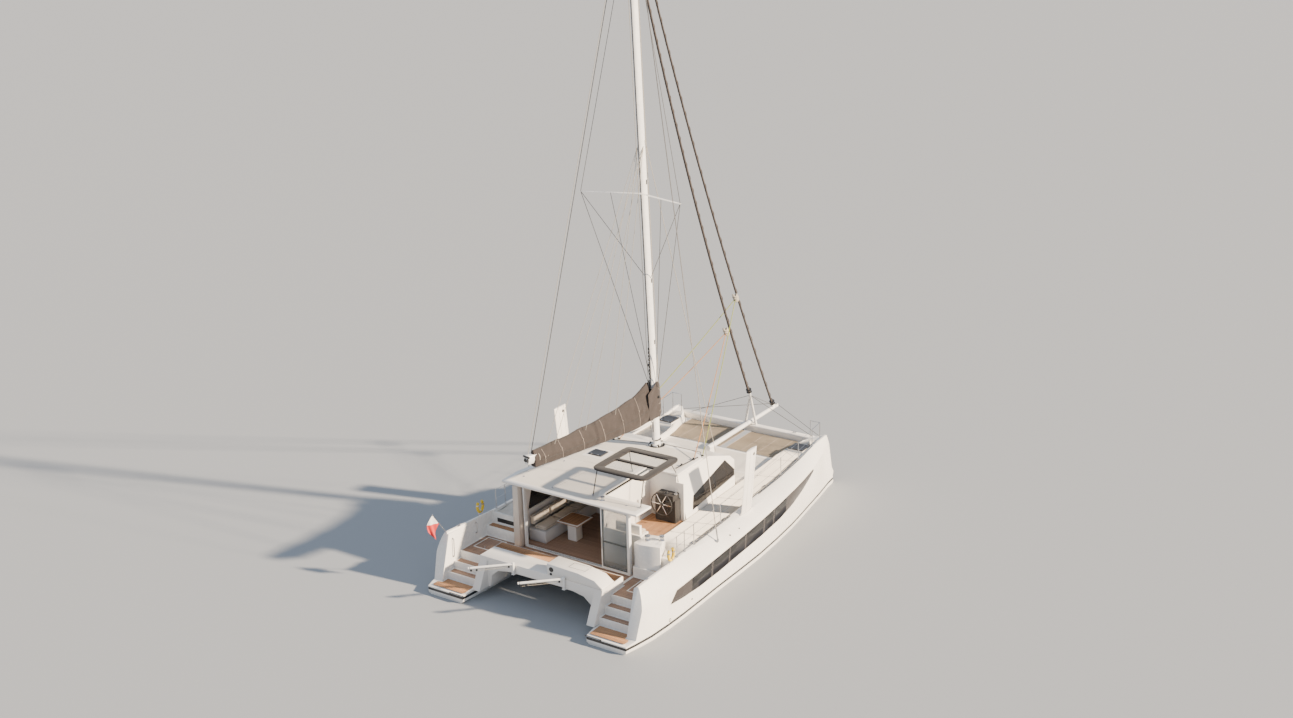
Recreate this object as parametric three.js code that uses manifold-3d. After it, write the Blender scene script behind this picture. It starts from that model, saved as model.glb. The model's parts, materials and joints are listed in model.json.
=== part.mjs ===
// Cruising sailing catamaran afloat at anchor, sails stowed.
// Millimetres: +X starboard, +Y towards the bows, +Z up from the waterline; origin amidships on the centre.
import * as THREE from 'three';
import { mergeVertices } from 'three/addons/utils/BufferGeometryUtils.js';
import Module from 'manifold-3d';

const wasm = await Module();
wasm.setup();

// Driving dimensions
const hullLength = 15100;
const transomY = -hullLength / 2;
const innerFaceX = 2350;
const soleZ = 1050;
const tunnelZ = 780;
const sideDeckZ = 1750;
const foredeckZ = 1700;
const foredeckFrontY = 4700;
const roofZ = 3350;
const roofThickness = 80;
const seamGap = 0.3;
const movingGap = 6;
const bearingGap = 0.6;
const mastRake = THREE.MathUtils.degToRad(2.7);
const mastFoot = new THREE.Vector3(0, 300, roofZ + seamGap);
const mastLength = 18970;
const mastHalf = { x: 105, y: 170 };
const gooseneckZ = 4380;
const gooseneck = { reach: 90, jaw: 100, plate: 16, eyeRadius: 34 };
const boomLength = 5800;
const boomRestAngle = THREE.MathUtils.degToRad(10);
const spreaderZ = 12450;
const sides = [
  { name: 'port', sign: -1 },
  { name: 'starboard', sign: 1 },
];

// Finishes: colour, roughness, metalness
const finishes = {
  gelcoat: [0xf0ebe2, 0.35, 0],
  deck: [0xe4ddd0, 0.6, 0],
  shadeGrey: [0x8f949b, 0.5, 0],
  teak: [0xa9713f, 0.7, 0],
  glazing: [0x38383a, 0.1, 0],
  clear: [0xc9d3d6, 0.05, 0],
  canvas: [0x7b6f68, 0.9, 0],
  charcoal: [0x3f3b39, 0.6, 0],
  sailCover: [0x1d1d20, 0.8, 0],
  cushion: [0xc9c2b6, 0.9, 0],
  net: [0xb9a88c, 0.9, 0],
  spar: [0xf1efe9, 0.3, 0.1],
  steel: [0xc8cbd0, 0.25, 1],
  bronze: [0x9a7b45, 0.35, 1],
  iron: [0x6a6f75, 0.6, 0.6],
};

const part = new THREE.Group();

function signedVolume(position, index) {
  const a = new THREE.Vector3();
  const b = new THREE.Vector3();
  const c = new THREE.Vector3();
  let volume = 0;
  for (let i = 0; i < index.length; i += 3) {
    a.fromBufferAttribute(position, index[i]);
    b.fromBufferAttribute(position, index[i + 1]);
    c.fromBufferAttribute(position, index[i + 2]);
    volume += a.dot(b.cross(c)) / 6;
  }
  return volume;
}

// Closed geometry to a solid: shared vertices merged, empty triangles dropped, faces turned outwards
function toSolid(geometry) {
  const bare = geometry.clone();
  for (const key of Object.keys(bare.attributes)) {
    if (key !== 'position') bare.deleteAttribute(key);
  }
  const merged = mergeVertices(bare, 1e-2);
  const position = merged.attributes.position;
  const kept = [];
  for (let i = 0; i < merged.index.count; i += 3) {
    const [a, b, c] = [0, 1, 2].map((k) => merged.index.getX(i + k));
    if (a !== b && b !== c && a !== c) kept.push(a, b, c);
  }
  if (signedVolume(position, kept) < 0) kept.reverse();
  return new wasm.Manifold(new wasm.Mesh({
    numProp: 3,
    vertProperties: new Float32Array(position.array),
    triVerts: new Uint32Array(kept),
  }));
}

function toGeometry(solid) {
  const mesh = solid.getMesh();
  const geometry = new THREE.BufferGeometry();
  geometry.setAttribute('position', new THREE.BufferAttribute(Float32Array.from(mesh.vertProperties), 3));
  geometry.setIndex(new THREE.BufferAttribute(Uint32Array.from(mesh.triVerts), 1));
  const faceted = geometry.toNonIndexed();
  faceted.computeVertexNormals();
  return faceted;
}

const join = (first, ...rest) => rest.reduce((whole, piece) => whole.add(piece), first);
const cut = (first, ...rest) => rest.reduce((whole, piece) => whole.subtract(piece), first);

function box(x0, x1, y0, y1, z0, z1) {
  const geometry = new THREE.BoxGeometry(Math.abs(x1 - x0), y1 - y0, z1 - z0);
  geometry.translate((x0 + x1) / 2, (y0 + y1) / 2, (z0 + z1) / 2);
  return toSolid(geometry);
}

// Outline in the plane across an axis, extruded from low to high along it: x takes (y, z), y (x, z), z (x, y)
function prism(axis, outline, low, high) {
  const shape = new THREE.Shape(outline.map(([a, b]) => new THREE.Vector2(a, b)));
  const geometry = new THREE.ExtrudeGeometry(shape, { depth: high - low, bevelEnabled: false });
  const unit = {
    x: [[0, 1, 0], [0, 0, 1], [1, 0, 0]],
    y: [[1, 0, 0], [0, 0, 1], [0, 1, 0]],
    z: [[1, 0, 0], [0, 1, 0], [0, 0, 1]],
  }[axis].map((v) => new THREE.Vector3(...v));
  geometry.translate(0, 0, low);
  geometry.applyMatrix4(new THREE.Matrix4().makeBasis(...unit));
  return toSolid(geometry);
}

// Outline with its corners rounded, as extra points
function rounded(outline, radius, steps = 3) {
  const points = [];
  outline.forEach((corner, i) => {
    const here = new THREE.Vector2(...corner);
    const before = new THREE.Vector2(...outline[(i + outline.length - 1) % outline.length]).sub(here);
    const after = new THREE.Vector2(...outline[(i + 1) % outline.length]).sub(here);
    const from = here.clone().addScaledVector(before.normalize(), radius);
    const to = here.clone().addScaledVector(after.normalize(), radius);
    const bend = new THREE.QuadraticBezierCurve(from, here, to);
    bend.getPoints(steps).forEach((point) => points.push([point.x, point.y]));
  });
  return points;
}

// Outline moved in by a distance on every edge
function inset(outline, distance) {
  const points = outline.map((point) => new THREE.Vector2(...point));
  const turn = THREE.ShapeUtils.area(points) > 0 ? 1 : -1;
  return points.map((here, i) => {
    const before = points[(i + points.length - 1) % points.length];
    const after = points[(i + 1) % points.length];
    const inDirection = here.clone().sub(before).normalize();
    const outDirection = after.clone().sub(here).normalize();
    const normalIn = new THREE.Vector2(-inDirection.y, inDirection.x).multiplyScalar(turn);
    const normalOut = new THREE.Vector2(-outDirection.y, outDirection.x).multiplyScalar(turn);
    const bisector = normalIn.clone().add(normalOut).normalize();
    const reach = distance / Math.max(bisector.dot(normalIn), 0.3);
    return [here.x + bisector.x * reach, here.y + bisector.y * reach];
  });
}

// Skin through rings of equal point count, closed at both ends
function loft(rings) {
  const count = rings[0].length;
  const vertices = rings.flat();
  const triangles = [];
  for (let r = 0; r < rings.length - 1; r += 1) {
    for (let i = 0; i < count; i += 1) {
      const a = r * count + i;
      const b = r * count + (i + 1) % count;
      triangles.push(a, b, a + count, b, b + count, a + count);
    }
  }
  [0, rings.length - 1].forEach((r, end) => {
    const centre = rings[r].reduce((sum, p) => sum.add(p), new THREE.Vector3()).divideScalar(count);
    const hub = vertices.push(centre) - 1;
    for (let i = 0; i < count; i += 1) {
      const a = r * count + i;
      const b = r * count + (i + 1) % count;
      triangles.push(...(end === 0 ? [hub, b, a] : [hub, a, b]));
    }
  });
  const geometry = new THREE.BufferGeometry();
  const coordinates = vertices.flatMap((p) => p.toArray());
  geometry.setAttribute('position', new THREE.Float32BufferAttribute(coordinates, 3));
  geometry.setIndex(triangles);
  return toSolid(geometry);
}

// Round or tapered bar between two points
function bar(from, to, radius, endRadius = radius, facets = 6) {
  const start = new THREE.Vector3(...from);
  const span = new THREE.Vector3(...to).sub(start);
  const geometry = new THREE.CylinderGeometry(endRadius, radius, span.length(), facets);
  geometry.translate(0, span.length() / 2, 0);
  geometry.applyQuaternion(new THREE.Quaternion().setFromUnitVectors(
    new THREE.Vector3(0, 1, 0), span.clone().normalize()));
  geometry.translate(start.x, start.y, start.z);
  return toSolid(geometry);
}

// Tube of one section along a polyline, mitred at its corners
function tube(points, radius, facets = 6) {
  const path = points.map((point) => new THREE.Vector3(...point));
  const away = new THREE.Vector3(0.31, 0.17, 0.94).normalize();
  return loft(path.map((here, i) => {
    const before = path[Math.max(i - 1, 0)];
    const after = path[Math.min(i + 1, path.length - 1)];
    const backward = here.clone().sub(before).normalize();
    const forward = after.clone().sub(here).normalize();
    const tangent = backward.add(forward).normalize();
    const across = new THREE.Vector3().crossVectors(tangent, away).normalize();
    const upward = new THREE.Vector3().crossVectors(across, tangent).normalize();
    return Array.from({ length: facets }, (_, k) => {
      const turn = (k / facets) * 2 * Math.PI;
      return here.clone().addScaledVector(across, Math.cos(turn) * radius)
        .addScaledVector(upward, Math.sin(turn) * radius);
    });
  }));
}

function shifted(solid, x, y, z) {
  return solid.translate([x, y, z]);
}

function add(name, solid, finish) {
  const [color, roughness, metalness] = finishes[finish];
  const material = new THREE.MeshStandardMaterial({ color, roughness, metalness });
  const mesh = new THREE.Mesh(toGeometry(solid), material);
  mesh.name = name;
  part.add(mesh);
}

// Hull stations of the starboard hull, in columns: y at the boot line, keel z, inner and outer x at the
// waterline, knuckle x and z, rail x and z, inner deck edge x, share of the stem's backward lean
const stationTable = [
  [-7550, -60, 2480, 3950, 4000, 1180, 3900, 1900, 2350, 0],
  [-6400, -290, 2400, 4150, 4165, 1240, 3850, 1890, 2350, 0],
  [-4700, -520, 2360, 4210, 4262, 1290, 3740, 1840, 2350, 0],
  [-2500, -660, 2390, 4170, 4275, 1385, 3660, 1820, 2350, 0],
  [300, -700, 2470, 4150, 4240, 1510, 3580, 1850, 2350, 0],
  [2900, -650, 2650, 3950, 4080, 1625, 3490, 1900, 2350, 0],
  [4700, -540, 2840, 3700, 3850, 1665, 3380, 1970, 2350, 0.15],
  [6100, -380, 3020, 3510, 3600, 1700, 3290, 2060, 2560, 0.5],
  [7000, -200, 3170, 3370, 3440, 1735, 3300, 2120, 2800, 0.85],
  [7550, -40, 3262, 3318, 3345, 1760, 3310, 2150, 3080, 1],
];
const stationColumns = [
  'y', 'keelZ', 'innerX', 'outerX', 'knuckleX', 'knuckleZ', 'railX', 'railZ', 'deckX', 'lean'];
const stem = { footZ: 250, backPerUp: 0.41, backPerDown: 0.9 };
const bootZ = 60;
const innerFlareZ = 420;
const bilgeSteps = 6;
const shoulderSteps = 4;
const shoulderFullness = 0.6;
const railWidth = 90;
const railHeight = 60;

// Slope of a column along the hull at a row, and the row faired in after it
function columnSlope(i, n) {
  const before = stationTable[Math.max(i - 1, 0)];
  const after = stationTable[Math.min(i + 1, stationTable.length - 1)];
  return (after[n] - before[n]) / (after[0] - before[0]);
}

function fairedRow(i) {
  const [row, next] = [stationTable[i], stationTable[i + 1]];
  const spacing = next[0] - row[0];
  return row.map((value, n) => (value + next[n]) / 2
    + (n === 0 ? 0 : (spacing / 8) * (columnSlope(i, n) - columnSlope(i + 1, n))));
}

const hullStations = stationTable
  .flatMap((row, i) => (i < stationTable.length - 1 ? [row, fairedRow(i)] : [row]))
  .map((row) => Object.fromEntries(stationColumns.map((name, n) => [name, row[n]])));

// Value of a station's column at any y
function stationAt(y, column) {
  const i = Math.max(hullStations.findIndex((station) => station.y > y), 1);
  const [a, b] = [hullStations[i - 1], hullStations[i]];
  return THREE.MathUtils.lerp(a[column], b[column], (y - a.y) / (b.y - a.y));
}

function hullRing(station, sign) {
  const { keelZ, innerX, outerX, knuckleX, knuckleZ, railX, railZ, deckX } = station;
  const centre = (innerX + outerX) / 2;
  const half = (outerX - innerX) / 2;
  const points = [];
  for (let i = 0; i <= bilgeSteps; i += 1) {
    const turn = Math.PI * (i / bilgeSteps);
    points.push([centre - half * Math.cos(turn), bootZ + (keelZ - bootZ) * Math.sin(turn) ** 0.8]);
  }
  const shoulder = new THREE.QuadraticBezierCurve(
    new THREE.Vector2(knuckleX, knuckleZ),
    new THREE.Vector2(THREE.MathUtils.lerp(railX, knuckleX, shoulderFullness),
      THREE.MathUtils.lerp(knuckleZ, railZ, shoulderFullness)),
    new THREE.Vector2(railX, railZ));
  const deckZ = railZ - railHeight;
  points.push(...shoulder.getPoints(shoulderSteps).map((point) => point.toArray()),
    [railX - railWidth, railZ], [railX - railWidth, deckZ], [deckX, deckZ], [deckX, tunnelZ + 120],
    [innerX, innerFlareZ]);
  return points.map(([x, z]) => {
    const back = z > stem.footZ ? stem.backPerUp * (z - stem.footZ) : stem.backPerDown * (stem.footZ - z);
    return new THREE.Vector3(sign * x, station.y - station.lean * back, z);
  });
}

// Stern well between the bulwark and the inner face: front edge y and level z of each tread
const wellBulwarkX = 3700;
const wellInnerX = 2450;
const treads = [
  { frontY: -6850, z: 320 },
  { frontY: -6500, z: 560 },
  { frontY: -6150, z: 800 },
  { frontY: -4750, z: soleZ },
  { frontY: -4400, z: 1400 },
];
const bulwarkSlope = [[-8200, 200], [-7130, 330], [-6640, 1910], [-6640, 2600], [-8200, 2600]];

// Daggerboard, canted outwards and nearly fully raised, in a trunk with a raised lip
const board = { x: 3770, y: 15, chord: 680, thickness: 120, topZ: 4120, length: 4600, cantPerUp: 0.092 };
const trunkLip = { width: 45, bottomZ: 1600, topZ: 1830, bearingZ: 1760 };
// Engine pocket and its hatch in the cockpit sole
const engineBay = { x0: 2800, x1: 3450, y0: -5600, y1: -4950, bottomZ: -120 };
const hatchLip = 40;
const hatchThickness = 45;
// Fore hatch on each bow
const foreHatch = { x0: 2560, x1: 3160, y0: 5150, y1: 5750, topZ: 2015, depth: 380 };
// Rudder stock and propeller shaft line
const rudder = { x: 3230, y: -6500, stockRadius: 35, topZ: -420, tipZ: -1480, aheadY: 110, asternY: 330 };
const drive = { x: 3260, y: -4950, topZ: -380, shaftZ: -860, propellerY: -5330 };

// Guard rail, trampoline nets and cap shrouds
const guardRail = {
  postYs: [-4190, -3710, -3110, -1350, 820, 3020, 4490, 5700], bowY: 6350, height: 700,
  wireHeights: [360, 700], pulpitWidth: 400,
};
const net = { innerX: 65, frontY: 6700, z: 1690, thickness: 15 };
const capShroud = { footX: 4010, footY: -2230, footZ: 1560, headY: -560, headZ: 22050, radius: 14 };

function hullLoft(sign, inward = 0) {
  return shifted(loft(hullStations.map((station) => hullRing(station, sign))), -sign * inward, 0, 0);
}

// Side window band: outline in y and z along the topside
const bandThickness = 14;
const bandOutline = [
  [-5430, 858], [-4900, 815], [-3800, 755], [-2500, 765], [-1200, 835], [200, 875], [1100, 905],
  [1750, 930], [2550, 1005], [3430, 1165], [4410, 1410], [4850, 1560], [4700, 1625], [2600, 1580],
  [200, 1470], [-3100, 1330], [-5100, 1215],
];
// Coaming locker on the starboard side deck beside the helm, in plan
const coamingLocker = { outline: [[2350, -3930], [2970, -3790], [3280, -4550], [2610, -4700], [2350, -4640]],
  bottomZ: 1400, topZ: 2200 };

function boardSlab(sign, growth, lowZ, highZ) {
  const at = (z) => board.x + board.cantPerUp * (z - sideDeckZ);
  const halfChord = board.chord / 2 + growth;
  const halfThick = board.thickness / 2 + growth;
  return loft([lowZ, highZ].map((z) => {
    const section = [];
    for (let i = 0; i < 12; i += 1) {
      const turn = (i / 12) * 2 * Math.PI;
      const along = Math.cos(turn);
      const across = Math.sin(turn) * (0.55 + 0.45 * Math.abs(Math.sin(turn)));
      section.push(new THREE.Vector3(sign * (at(z) + across * halfThick), board.y + along * halfChord, z));
    }
    return section;
  }));
}

function boltBore(x, y, lowZ, highZ, radius) {
  return bar([x, y, lowZ], [x, y, highZ], radius, radius, 24);
}

// Mast centre and section at a height: it rakes aft
function mastAt(z) {
  return new THREE.Vector3(0, mastFoot.y - (z - mastFoot.z) * Math.tan(mastRake), z);
}

function mastSection(z, growth = 0) {
  const centre = mastAt(z);
  const points = [];
  for (let i = 0; i < 14; i += 1) {
    const turn = (i / 14) * 2 * Math.PI;
    points.push(new THREE.Vector3(Math.cos(turn) * (mastHalf.x + growth),
      centre.y + Math.sin(turn) * (mastHalf.y + growth), z));
  }
  return points;
}

for (const { name, sign } of sides) {
  const xs = (low, high) => (sign > 0 ? [low, high] : [-high, -low]);
  const side = (x0, x1, y0, y1, z0, z1) => box(...xs(x0, x1), y0, y1, z0, z1);
  const whole = hullLoft(sign);

  // Stern: open well with steps, bulwark cut back to the slope
  const wellSteps = treads.map(({ frontY, z }, i) => {
    const backY = i === 0 ? transomY - 100 : treads[i - 1].frontY;
    return side(0, wellBulwarkX, backY, frontY, z, 3000);
  });
  const bulwarkBack = prism('x', bulwarkSlope, ...xs(0, 5000));
  const innerTrim = side(0, innerFaceX, transomY - 100, 4700, tunnelZ - 250, 3000);
  const beamSeat = side(0, wellInnerX, -7300, -5450, 300, 3000);

  // Side window band bonded on the topside
  const band = hullLoft(sign, -bandThickness).intersect(prism('x', bandOutline, ...xs(3100, 4600)))
    .subtract(hullLoft(sign, -seamGap));

  // Daggerboard trunk with its raised lip, engine pocket, hatch seats and rudder bore
  const lip = boardSlab(sign, trunkLip.width, trunkLip.bottomZ, trunkLip.topZ);
  const trunk = join(boardSlab(sign, movingGap, -1200, trunkLip.bearingZ),
    boardSlab(sign, bearingGap, trunkLip.bearingZ - 60, trunkLip.topZ + 400));
  const pocket = side(engineBay.x0, engineBay.x1, engineBay.y0, engineBay.y1, engineBay.bottomZ, soleZ + 5);
  const lid = (x0, x1, y0, y1, topZ, gap) => side(x0 - gap, x1 + gap, y0 - gap, y1 + gap,
    topZ - hatchThickness - (gap > 0 ? seamGap : 0), topZ + (gap > 0 ? 200 : 0));
  const engineLid = [engineBay.x0 - hatchLip, engineBay.x1 + hatchLip, engineBay.y0 - hatchLip,
    engineBay.y1 + hatchLip, soleZ];
  const foreLid = [foreHatch.x0, foreHatch.x1, foreHatch.y0, foreHatch.y1, foreHatch.topZ + hatchThickness];
  const forePocket = side(foreHatch.x0 + hatchLip, foreHatch.x1 - hatchLip, foreHatch.y0 + hatchLip,
    foreHatch.y1 - hatchLip, foreHatch.topZ - foreHatch.depth, foreHatch.topZ + 300);
  const coaming = side(foreHatch.x0, foreHatch.x1, foreHatch.y0, foreHatch.y1, 1700, foreHatch.topZ);
  const bore = boltBore(sign * rudder.x, rudder.y, -700, -100, rudder.stockRadius + 1);

  const hull = cut(join(whole, lip, coaming), ...wellSteps, bulwarkBack, innerTrim, beamSeat, trunk,
    pocket, lid(...engineLid, movingGap), forePocket, bore);
  const locker = prism('z', coamingLocker.outline, coamingLocker.bottomZ, coamingLocker.topZ);
  add(`hull_${name}`, sign > 0 ? join(hull, locker) : hull, 'gelcoat');
  add(`hull_window_${name}`, band, 'glazing');
  add(`engine_hatch_${name}`, lid(...engineLid, 0), 'teak');
  add(`fore_hatch_${name}`, shifted(lid(...foreLid, 0), 0, 0, seamGap), 'glazing');
  add(`engine_${name}`, side(engineBay.x0 + 60, engineBay.x1 - 60, engineBay.y0 + 20, engineBay.y1 - 20,
    engineBay.bottomZ + seamGap, 640), 'iron');
  add(`daggerboard_${name}`, boardSlab(sign, 0, board.topZ - board.length, board.topZ), 'gelcoat');

  // Spade rudder on its stock: chord narrows to the tip
  const blade = [[rudder.topZ, 1], [-1000, 0.86], [rudder.tipZ, 0.6]].map(([z, scale]) => {
    const chord = [[rudder.aheadY, 0], [60, 26], [-40, 32], [-180, 18], [-rudder.asternY, 3],
      [-rudder.asternY, -3], [-180, -18], [-40, -32], [60, -26]];
    return chord.map(([y, x]) => new THREE.Vector3(sign * rudder.x + x * scale, rudder.y + y * scale, z));
  });
  add(`rudder_${name}`, join(loft(blade), boltBore(sign * rudder.x, rudder.y, rudder.topZ - 60, -140,
    rudder.stockRadius)), 'gelcoat');

  // Saildrive leg under the hull, bullet gearcase and three-bladed propeller
  const legBelow = loft([[-200, 1], [drive.shaftZ, 0.8]].map(([z, scale]) => {
    const chord = [[190, 0], [90, 45], [-60, 48], [-190, 0], [-60, -48], [90, -45]];
    return chord.map(([y, x]) => new THREE.Vector3(sign * drive.x + x * scale, drive.y + y * scale, z));
  }));
  const gearcase = bar([sign * drive.x, drive.y + 260, drive.shaftZ], [sign * drive.x, drive.propellerY + 60,
    drive.shaftZ], 40, 72, 12);
  add(`saildrive_${name}`, cut(join(legBelow, gearcase), shifted(hullLoft(sign), 0, 0, -seamGap)),
    'iron');
  const hub = bar([sign * drive.x, drive.propellerY + 60 - seamGap, drive.shaftZ],
    [sign * drive.x, drive.propellerY - 120, drive.shaftZ], 66, 30, 12);
  const propeller = join(hub, ...[0, 120, 240].map((degrees) => {
    const vane = new THREE.BoxGeometry(110, 16, 240);
    vane.translate(0, 0, 110);
    vane.rotateZ(sign * 0.5);
    vane.rotateY(THREE.MathUtils.degToRad(degrees));
    vane.translate(sign * drive.x, drive.propellerY - 10, drive.shaftZ);
    return toSolid(vane);
  }));
  add(`propeller_${name}`, propeller, 'bronze');

  // Guard rail: stanchions, two wires and the bow pulpit, standing on the rail
  const railAt = (y) => [sign * (stationAt(y, 'railX') - railWidth / 2), y, stationAt(y, 'railZ')];
  const raised = ([x, y, z], up) => [x, y, z + up];
  const feet = guardRail.postYs.map(railAt);
  const posts = feet.map((foot) => bar(raised(foot, -railHeight), raised(foot, guardRail.height + 15), 13));
  const wires = guardRail.wireHeights.map((up) => tube(feet.map((foot) => raised(foot, up)), 5));
  const [bowX, bowY, bowZ] = railAt(guardRail.bowY);
  const innerBowX = bowX - sign * guardRail.pulpitWidth;
  const pulpit = tube([
    raised(feet.at(-1), guardRail.height), [bowX, bowY, bowZ + guardRail.height],
    [innerBowX, bowY, bowZ + guardRail.height], [innerBowX, bowY, bowZ - 2 * railHeight]], 14);
  const bowPost = bar([bowX, bowY, bowZ - railHeight], [bowX, bowY, bowZ + guardRail.height], 14);
  const rails = join(...posts, ...wires, pulpit, bowPost);
  add(`guard_rail_${name}`, cut(rails, shifted(whole, 0, 0, seamGap)), 'steel');

  // Trampoline net between the sprit, crossbeam, foredeck and bow
  const netAftY = foredeckFrontY + seamGap;
  const netOutline = [[net.innerX, netAftY], [2330, netAftY], [2330, 5000], [2640, net.frontY],
    [net.innerX, net.frontY]];
  const netSheet = prism('z', netOutline.map(([x, y]) => [sign * x, y]), net.z, net.z + net.thickness);
  add(`trampoline_${name}`, netSheet.subtract(hullLoft(sign, 8)), 'net');

  // Cap shroud from the chainplate on the shoulder to the masthead
  const chainplate = [sign * capShroud.footX, capShroud.footY, capShroud.footZ];
  const mastTop = [sign * (mastHalf.x + 10), capShroud.headY, capShroud.headZ];
  add(`shroud_${name}`, cut(bar(chainplate, mastTop, capShroud.radius), hullLoft(sign, -seamGap),
    loft([mastSection(21000, seamGap), mastSection(22300, seamGap)])), 'steel');
}

// Bridgedeck: foredeck box, saloon floor, cockpit sole and the raised helm floor
const edgeX = innerFaceX - seamGap;
const helm = { innerX: 920, outerX: edgeX, aftY: -4200, frontY: -1500, floorZ: 1700 };
const bridgeProfile = [
  [-5450, tunnelZ], [4100, tunnelZ], [foredeckFrontY, 1250], [foredeckFrontY, foredeckZ],
  [2950, foredeckZ], [2950, soleZ], [-5450, soleZ],
];
const bridgedeck = join(
  prism('x', bridgeProfile, -edgeX, edgeX),
  box(helm.innerX, helm.outerX, helm.aftY, helm.frontY, soleZ - 50, helm.floorZ));
add('bridgedeck', bridgedeck, 'deck');

// Aft beam: flat top, arched underside, legs that run down to the stern platforms
const legX = wellInnerX - seamGap;
const beamAftY = -6600;
const beamFrontY = -5450 - seamGap;
const beamOutline = [
  [-legX, 1380], [-legX, 330], [-2080, 330], [-1990, 760], [-1720, 980], [-1300, 1060],
  [1300, 1060], [1720, 980], [1990, 760], [2080, 330], [legX, 330], [legX, 1380],
];
const beamLegs = sides.map(({ sign }) => {
  const outline = [[-7100, 330], [-6560, 1380], [-5460, 1380], [-5460, 330]];
  const [low, high] = sign > 0 ? [2150, legX] : [-legX, -2150];
  return prism('x', outline, low, high);
});
// Davit posts: foot and swinging arm, each foot on a lug of the beam
const davit = {
  portX: -1030, starboardX: 1000, y: -6654, z: 1430, footZ: 1085, reach: 1450, radius: 42, postRadius: 48,
  restTurn: THREE.MathUtils.degToRad(47), lugHalf: 60, lugDepth: 20,
};
const davitLugs = [davit.portX, davit.starboardX].map((x) => (
  box(x - davit.lugHalf, x + davit.lugHalf, davit.y - davit.lugHalf, beamAftY + 10,
    davit.footZ - davit.lugDepth, davit.footZ - seamGap)));
add('aft_beam', join(prism('y', beamOutline, beamAftY, beamFrontY), ...beamLegs, ...davitLugs), 'shadeGrey');
const lockerOutline = [
  [300, 1380 + seamGap], [legX, 1380 + seamGap], [legX, 1430], [2150, 1640], [1500, 1740], [300, 1770]];
add('aft_locker', prism('y', lockerOutline, -6600, -5950), 'gelcoat');

// Davit arms swung out over the stern, each turning on its post
for (const { name } of sides) {
  const x = davit[`${name}X`];
  const tip = [x - davit.reach * Math.sin(davit.restTurn), davit.y - davit.reach * Math.cos(davit.restTurn),
    davit.z];
  const post = bar([x, davit.y, davit.footZ], [x, davit.y, davit.z + 60], davit.postRadius,
    davit.postRadius, 10);
  add(`davit_${name}`, join(post, bar([x, davit.y, davit.z], tip, davit.radius, davit.radius, 8)), 'spar');
}

// Crossbeam, sprit and striker
const crossbeam = { y0: 6700 + seamGap, y1: 7000, bottomZ: 1660, topZ: 1934, endX: 3050 };
const sprit = { aftY: 3700, tipY: 8930, z: 2030, radius: 95, tipRadius: 76 };
const beamSection = rounded([
  [crossbeam.y0, crossbeam.bottomZ], [crossbeam.y1, crossbeam.bottomZ],
  [crossbeam.y1, crossbeam.topZ], [crossbeam.y0, crossbeam.topZ]], 60, 2);
add('crossbeam', cut(prism('x', beamSection, -crossbeam.endX, crossbeam.endX),
  hullLoft(-1, seamGap), hullLoft(1, seamGap), shifted(hullLoft(-1), 0, 0, seamGap),
  shifted(hullLoft(1), 0, 0, seamGap)), 'gelcoat');
const spritTube = bar([0, sprit.aftY, sprit.z], [0, sprit.tipY, sprit.z], sprit.radius, sprit.tipRadius, 16);
const spritFoot = box(-80, 80, sprit.aftY, sprit.aftY + 300, foredeckZ + seamGap, sprit.z);
const spritPad = { y: 8560, half: 80, topZ: 2200 };
add('bowsprit', join(spritTube, spritFoot,
  box(-60, 60, spritPad.y - spritPad.half, spritPad.y + spritPad.half, sprit.z, spritPad.topZ)), 'spar');
const striker = { topZ: 3260, apex: [0, 6800, 3150], footX: 230, footY: 6850, headY: 6740 };
const strikerLegs = [-1, 1].map((s) => (
  bar([s * striker.footX, striker.footY, crossbeam.topZ + seamGap], striker.apex, 55, 40, 8)));
const strikerHead = bar(striker.apex, [0, striker.headY, striker.topZ + 40], 45);
add('striker', cut(join(...strikerLegs, strikerHead),
  box(-400, 400, 6400, 7400, 1700, crossbeam.topZ + seamGap),
  box(-200, 200, 6400, 7400, striker.topZ, 3500)), 'spar');

// Cabin shell: side profile, end profile and plan, each moved in by an inset
const cabin = {
  aftY: -4650, creaseY: 500, browY: 1750, browZ: 2860, noseY: 2900, topZ: roofZ - roofThickness - seamGap,
  wall: 60,
};
const shoulderX = edgeX - 10;
const creaseX = 2010;

function cabinForm(inset, topZ) {
  const sideProfile = [
    [cabin.aftY - 100, soleZ + seamGap], [cabin.noseY - inset * 1.3, soleZ + seamGap],
    [cabin.noseY - inset * 1.3, sideDeckZ - inset * 0.3], [cabin.browY - inset * 0.8, cabin.browZ - inset],
    [cabin.creaseY - inset * 0.8, cabin.topZ],
    [cabin.creaseY - inset * 0.8, topZ + 1], [cabin.aftY - 100, topZ + 1],
  ];
  const endProfile = [
    [-shoulderX + inset, soleZ], [shoulderX - inset, soleZ], [shoulderX - inset, sideDeckZ],
    [creaseX - inset, cabin.topZ], [creaseX - inset, topZ], [-creaseX + inset, topZ],
    [-creaseX + inset, cabin.topZ], [-shoulderX + inset, sideDeckZ],
  ];
  const plan = [
    [-shoulderX + inset, cabin.aftY - 100], [shoulderX - inset, cabin.aftY - 100], [shoulderX - inset, 1700],
    [1500 - inset * 0.5, cabin.noseY - inset], [-1500 + inset * 0.5, cabin.noseY - inset],
    [-shoulderX + inset, 1700],
  ];
  return prism('x', sideProfile, -3000, 3000)
    .intersect(prism('y', endProfile, -6000, 4000))
    .intersect(prism('z', plan, 500, 4000));
}

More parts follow.
